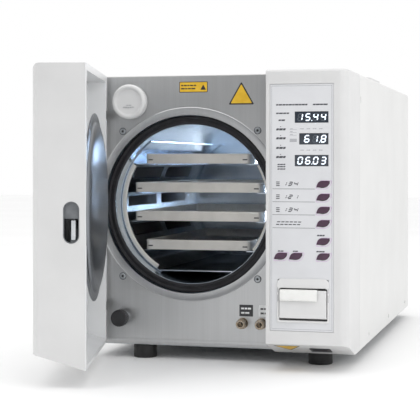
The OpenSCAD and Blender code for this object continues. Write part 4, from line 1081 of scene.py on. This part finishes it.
# %% Fan guard
fan_x, fan_z = seen_from_front("fan_rotor")[:2]
REAR_Y = mm_box("rear_panel")[1].y
RING_WIRE, SPOKE_WIRE = 0.7, 0.8


def circle(radius, sides=10):
    """Points round a circle."""
    return [(radius * math.cos(math.tau * k / sides), radius * math.sin(math.tau * k / sides))
            for k in range(sides)]


for k, radius in enumerate((14, 22, 30, 38, 46)):
    profile = [(radius + a, REAR_Y + 0.75 + b) for a, b in circle(RING_WIRE)]
    turned_piece(f"fan_guard_ring_{k}", fan_x, fan_z, profile, chrome, "autoclave", 96)
for k in range(4):
    angle = math.tau * k / 4 + math.pi / 4
    along = Vector((math.cos(angle), 0, math.sin(angle)))
    side = Vector((-math.sin(angle), 0, math.cos(angle)))
    rings = []
    for reach in (12, 30, 50):
        middle = Vector((fan_x, REAR_Y + 1.6, fan_z)) + along * reach
        rings.append([tuple(middle + side * a + Vector((0, b, 0))) for a, b in circle(SPOKE_WIRE)])
    lofted_piece(f"fan_guard_spoke_{k}", rings, chrome, "autoclave")
print("wire guard on the rear panel at y", round(REAR_Y, 1))

# %% [markdown]
# The mains inlet has three flat pins, the middle one a little higher. Their ends are blunt and narrower.

# %% Pins of the mains inlet
inlet_x, inlet_z, _, _, inlet_face = seen_from_front("power_inlet")
for k, (dx, dz) in enumerate([(-7, -2), (0, 2), (7, -2)]):
    x, z = inlet_x + dx, inlet_z + dz
    rings = [at_depth(rounded_outline(x - size, z - 2.2 * size, x + size, z + 2.2 * size, 0.3, 0, 3), y)
             for y, size in ((inlet_face - 16.5, 1.0), (inlet_face - 4, 1.0), (inlet_face - 3, 0.5))]
    lofted_piece(f"inlet_pin_{k}", rings, chrome, "autoclave")
print("inlet pins: 3")


# %% [markdown]
# Six screws hold the rear panel and three hold the cover on each side. The head is a low dome. Its cross
# recess is made by sinking the inner points of the loft wherever they lie near one of four directions.

# %% Pan-head screws with a cross recess
def screw_head(name, place, out, finish=zinc, radius=3.6, high=1.6):
    """A domed head that stands out along a unit direction, with a cross of four sunk wedges."""
    out = Vector(out)
    side = Vector((0, 0, 1)) if abs(out.z) < 0.5 else Vector((1, 0, 0))
    other = out.cross(side)
    rings, count = [], 32
    for across, up in ((1, 0), (1, 0.35), (0.86, 0.75), (0.6, 0.96), (0.5, 1), (0.42, 1), (0.12, 1)):
        r, h = radius * across, high * up
        ring = []
        for k in range(count):
            angle = math.tau * k / count
            cross = abs(math.sin(2 * angle)) < 0.45 and r < radius * 0.45
            spot = side * r * math.cos(angle) + other * r * math.sin(angle) + out * (h - 1.0 * cross)
            ring.append(tuple(Vector(place) + spot))
        rings.append(ring)
    return lofted_piece(name, rings, finish, "autoclave", crease=35)


cover_low, cover_high = mm_box("outer_cover")
spots = [(cover_low.x + 12, 60), (cover_low.x + 12, 400), (cover_high.x - 12, 40), (cover_high.x - 12, 400),
         (cover_low.x + 205, 424), (cover_low.x + 205, 30)]
for k, (x, z) in enumerate(spots):
    screw_head(f"rear_screw_{k}", (x, REAR_Y, z), (0, 1, 0))
for side, x, outwards in (("left", cover_low.x, -1), ("right", cover_high.x, 1)):
    for k, y in enumerate((cover_low.y + 120, cover_low.y + 360, cover_high.y - 60)):
        screw_head(f"{side}_screw_{k}", (x, y, cover_low.z + 14), (outwards, 0, 0), powder_coat)
print("screws on the casing:", len(spots) + 6)

# %% [markdown]
# ## The folded hem of the front plate
# The lower edge of the steel plate is folded forward a little, so it catches a lighter line. A thin lofted
# strip with a round front makes that hem.

# %% Plate hem
plate_low, plate_high = mm_box("front_plate")
HEM_TALL, HEM_OUT, HEM_STEPS = 9, 0.55, 8
hem = []
for x in (plate_low.x + 0.4, plate_high.x - 0.2):
    hem.append([(x, PLATE_Y + 0.05 - HEM_OUT * math.sin(math.pi * k / HEM_STEPS),
                 plate_low.z + 0.3 + HEM_TALL * k / HEM_STEPS) for k in range(HEM_STEPS + 1)])
lofted_piece("plate_hem", hem, brushed_steel, "autoclave", crease=60)
print("hem length, mm:", round(plate_high.x - plate_low.x, 1))

# %% [markdown]
# ## Screws of the front plate, and the feet
# Four low round-headed screws hold the plate round the chamber. A dark ring round each head is painted
# shade where the head meets the plate, and a black disc in its small round socket paints the shade in the
# recess.

# %% Plate screws
PLATE_SCREW_X, PLATE_SCREW_Z = 107, 112
for k, (sx, sz) in enumerate([(-1, -1), (1, -1), (1, 1), (-1, 1)]):
    x, z = CHAMBER_X + PLATE_SCREW_X * sx, CHAMBER_Z + PLATE_SCREW_Z * sz
    head = [(1.7, PLATE_Y - 0.5), (1.9, PLATE_Y - 1.5), (3.4, PLATE_Y - 1.6), (4.3, PLATE_Y - 1.3),
            (4.7, PLATE_Y - 0.9), (4.7, PLATE_Y - 0.05), (1.7, PLATE_Y - 0.05)]
    turned_piece(f"plate_screw_{k}", x, z, head, zinc, "autoclave", 40)
    # The dark ring is painted shade round the head, where it meets the plate.
    ring = [(4.65, PLATE_Y - 0.5), (5.5, PLATE_Y - 0.5), (5.7, PLATE_Y - 0.3), (5.7, PLATE_Y - 0.05),
            (4.65, PLATE_Y - 0.05)]
    turned_piece(f"plate_screw_painted_shade_ring_{k}", x, z, ring, dark_ink, "autoclave", 40)
    # The black disc is painted shade in the socket's recess.
    socket = [(0.01, PLATE_Y - 1.3), (1.5, PLATE_Y - 1.35), (1.85, PLATE_Y - 1.3), (1.85, PLATE_Y - 1.2),
              (0.01, PLATE_Y - 1.2)]
    turned_piece(f"plate_screw_socket_painted_shade_{k}", x, z, socket, black_nylon, "autoclave", 24)
print("plate screws: 4")

# %% [markdown]
# The feet are straight rubber pucks with soft edges. The CAD node holds all four, so one mesh does too: a
# stack of circles for each foot.

# %% Rubber feet
foot_low, foot_high = mm_box("feet")
FOOT_RADIUS, SIDES = 18, 64
LEVELS = [(FOOT_RADIUS - 1.2, 0), (FOOT_RADIUS - 0.4, 0.4), (FOOT_RADIUS, 1.3), (FOOT_RADIUS, 17.8),
          (FOOT_RADIUS - 0.4, 18.8), (FOOT_RADIUS - 1.6, 19.2), (FOOT_RADIUS - 1.6, 19.9)]
points, faces = [], []
for fx in (foot_low.x + FOOT_RADIUS, foot_high.x - FOOT_RADIUS):
    for fy in (foot_low.y + FOOT_RADIUS, foot_high.y - FOOT_RADIUS):
        first = len(points)
        for radius, z in LEVELS:
            points += [(fx + x, fy + y, z) for x, y in circle(radius, SIDES)]
        for level in range(len(LEVELS) - 1):
            this, after = first + SIDES * level, first + SIDES * (level + 1)
            faces += [(this + k, this + (k + 1) % SIDES, after + (k + 1) % SIDES, after + k)
                      for k in range(SIDES)]
        faces += [tuple(range(first, first + SIDES)), tuple(range(len(points) - SIDES, len(points)))]
feet = make_piece("rubber_feet", points, faces, foot_rubber, "autoclave")
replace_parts(feet, "feet")
print("feet:", len(points) // (SIDES * len(LEVELS)))

# %% [markdown]
# ## The rack's hoop and windows
# A flat hoop welded to the front of the rack follows the chamber's wall on both sides of the trays. Both
# halves are bands along a part of a circle, lofted from one small section.

# %% Rack hoop
rack_front = mm_box("tray_rack")[0].y
HOOP = (113.5, 120.5, rack_front + 0.02, rack_front + 1.6)


def arc_band(name, inner, outer, y0, y1, start, end, finish, steps=48):
    """A flat band along part of a circle round the chamber axis."""
    section = [(inner, y0 + 0.3), (inner + 0.3, y0), (outer - 0.3, y0), (outer, y0 + 0.3), (outer, y1),
               (inner, y1)]
    rings = []
    for step in range(steps + 1):
        angle = math.radians(start + (end - start) * step / steps)
        rings.append([(CHAMBER_X + r * math.cos(angle), y, CHAMBER_Z + r * math.sin(angle))
                      for r, y in section])
    return lofted_piece(name, rings, finish, "rack", crease=50)


arc_band("rack_hoop_left", *HOOP, 149, 238, anodised)
arc_band("rack_hoop_right", *HOOP, -38, 31, anodised)
print("hoop width, mm:", HOOP[1] - HOOP[0])

# %% [markdown]
# The rack's curved sides have windows between the trays, three up and two deep on each side. A thin dark
# strip lies behind each as painted shade, so that the windows read dark, as slots, from the front.

# %% Painted shade: dark strips behind the rack's windows
tray_floor = mm_box("tray_4")[0].z
TRAY_PITCH, WINDOW_UP, WINDOW_TALL = 45, 22, 16
WINDOW_BACK, WINDOW_PITCH, WINDOW_LONG = 31, 175, 148
WALL = 119.7
for level in range(3):
    z0 = tray_floor + TRAY_PITCH * level + WINDOW_UP
    start, end = [math.degrees(math.asin((z - CHAMBER_Z) / WALL)) for z in (z0, z0 + WINDOW_TALL)]
    for depth in range(2):
        y0 = rack_front + WINDOW_BACK + WINDOW_PITCH * depth
        for side, a, b in ((0, 180 - start, 180 - end), (2, start, end)):
            # The black strip is painted shade behind the window, not a part of the rack.
            arc_band(f"window_shim_{level}_{depth}_{side}", WALL - 0.2, WALL + 0.2, y0, y0 + WINDOW_LONG,
                     a, b, black_nylon, steps=6)
print("window strips:", 3 * 2 * 2)

# %% [markdown]
# ## Joint between column and cover
# The column ends 24 mm behind the front plate, where a fine joint runs up the side. A grey strip paints the
# shade in its gap.

# %% Painted shade along the side joint
JOINT_LOW = 26
joint_high, joint_y = cover_high.z - 8, PLATE_Y + 24
x0, x1, y0, y1 = cover_high.x - 0.4, cover_high.x - 0.02, joint_y - 0.5, joint_y + 0.2
joint = [[(x0, y0, z), (x1, y0, z), (x1, y1, z), (x0, y1, z)] for z in (JOINT_LOW, 120, 220, 320, joint_high)]
# The grey strip is painted shade in the gap between column and cover.
lofted_piece("side_joint_painted_shade", joint, grey_nylon, "autoclave", crease=60)
print("side joint, mm:", round(joint_high - JOINT_LOW, 1))

# %% [markdown]
# ## The studio
# A wide pale floor runs out of sight, so that the object stands in white with a soft shadow under it. The
# world gives the even light of a white room.

# %% Floor
floor_mesh = bpy.data.meshes.new("studio_floor")
floor_mesh.from_pydata([(-9, -9, 0), (9, -9, 0), (9, 9, 0), (-9, 9, 0)], [], [(0, 1, 2, 3)])
floor = bpy.data.objects.new("studio_floor", floor_mesh)
bpy.context.scene.collection.objects.link(floor)
floor_paint, tree, shader, place = start_finish("matt_studio_floor", "#FAFAFA", 0.9, IOR=1.3)
weather(tree, shader, place, "#FBFBFB", "#F8F8F8", 400, 20.0, 0.1, 0.05)
floor_mesh.materials.append(floor_paint)
floor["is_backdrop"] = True
print("floor side, m: 18")


# %% [markdown]
# A large soft light hangs over the front, and two weaker ones fill the front left and the right. Four small
# ones light the chamber, which would be dark without them. A dark grey card in front, which the camera
# doesn't see, gives the bright steel something darker to mirror than the white room.

# %% Lights
def soft_light(name, place, aim, width, height, power, code="#FFFFFF"):
    """A rectangular soft light at a place, in metres, that looks at a point."""
    lamp = bpy.data.lights.new(name, "AREA")
    lamp.color = hex_linear(code)[:3]
    lamp.shape, lamp.size, lamp.size_y, lamp.energy = "RECTANGLE", width, height, power
    held = bpy.data.objects.new(name, lamp)
    held.location = place
    held.rotation_mode = "QUATERNION"
    held.rotation_quaternion = (Vector(aim) - Vector(place)).to_track_quat("-Z", "Y")
    held.visible_camera = False
    bpy.context.scene.collection.objects.link(held)
    held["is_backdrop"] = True


soft_light("key_softbox", (-1.3, -1.9, 2.3), (0, -0.2, 0.2), 1.6, 1.2, 6)
soft_light("right_fill", (2.4, -1.2, 1.3), (0.1, 0, 0.2), 1.2, 1.6, 7)
soft_light("chamber_front_light", (0.35, -1.6, 0.75), (-0.06, -0.1, 0.24), 0.5, 0.5, 1.6)
soft_light("top_softbox", (0, -0.7, 2.7), (0, -0.3, 0), 2.6, 2.4, 16)
soft_light("chamber_top_glow", (0.02, -0.2, 0.313), (-0.05, 0.14, 0.27), 0.05, 0.04, 1.0, "#DCEBFF")
soft_light("chamber_side_glow", (0.045, -0.21, 0.245), (-0.12, 0.12, 0.24), 0.03, 0.09, 0.4, "#DCEBFF")
soft_light("chamber_end_wash", (0.0, 0.02, 0.325), (-0.06, 0.14, 0.25), 0.05, 0.05, 0.5, "#DCEBFF")

card_mesh = bpy.data.meshes.new("grey_card")
card_mesh.from_pydata([(-0.36, -1.35, 0.36), (0.3, -1.35, 0.36), (0.3, -1.35, 0.95), (-0.36, -1.35, 0.95)],
                      [], [(0, 1, 2, 3)])
card_paint, tree, shader, place = start_finish("matt_grey_card", "#3C3C3C", 0.9, IOR=1.3)
weather(tree, shader, place, "#404040", "#383838", 200, 20.0, 0.1, 0.05)
card_mesh.materials.append(card_paint)
card = bpy.data.objects.new("grey_card", card_mesh)
card.visible_camera = False
bpy.context.scene.collection.objects.link(card)
card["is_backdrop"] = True

world = bpy.data.worlds.new("white_room")
world.use_nodes = True
world.node_tree.nodes["Background"].inputs["Color"].default_value = (1, 1, 1, 1)
world.node_tree.nodes["Background"].inputs["Strength"].default_value = 1.0
bpy.context.scene.world = world
bpy.context.scene.view_settings.view_transform = "Standard"

# %% [markdown]
# ## The camera
# The view is from the front right at about two thirds of the object's height, with the camera level and
# the lens shifted down, so that upright edges stay upright, as in product photography.

# %% Camera
camera_data = bpy.data.cameras.new("product_camera")
camera_data.lens, camera_data.sensor_width = 112.32, 36
camera_data.shift_x, camera_data.shift_y = 0.0027, -0.1135
camera_data.clip_start, camera_data.clip_end = 0.05, 50
camera = bpy.data.objects.new("product_camera", camera_data)
camera.location = (0.48625, -2.21127, 0.30104)
camera.rotation_euler = (math.pi / 2, 0, math.radians(15.07))
bpy.context.scene.collection.objects.link(camera)
bpy.context.scene.camera = camera
print("camera at", tuple(round(c, 3) for c in camera.location))

# %% Measure the object's bounds
low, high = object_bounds()
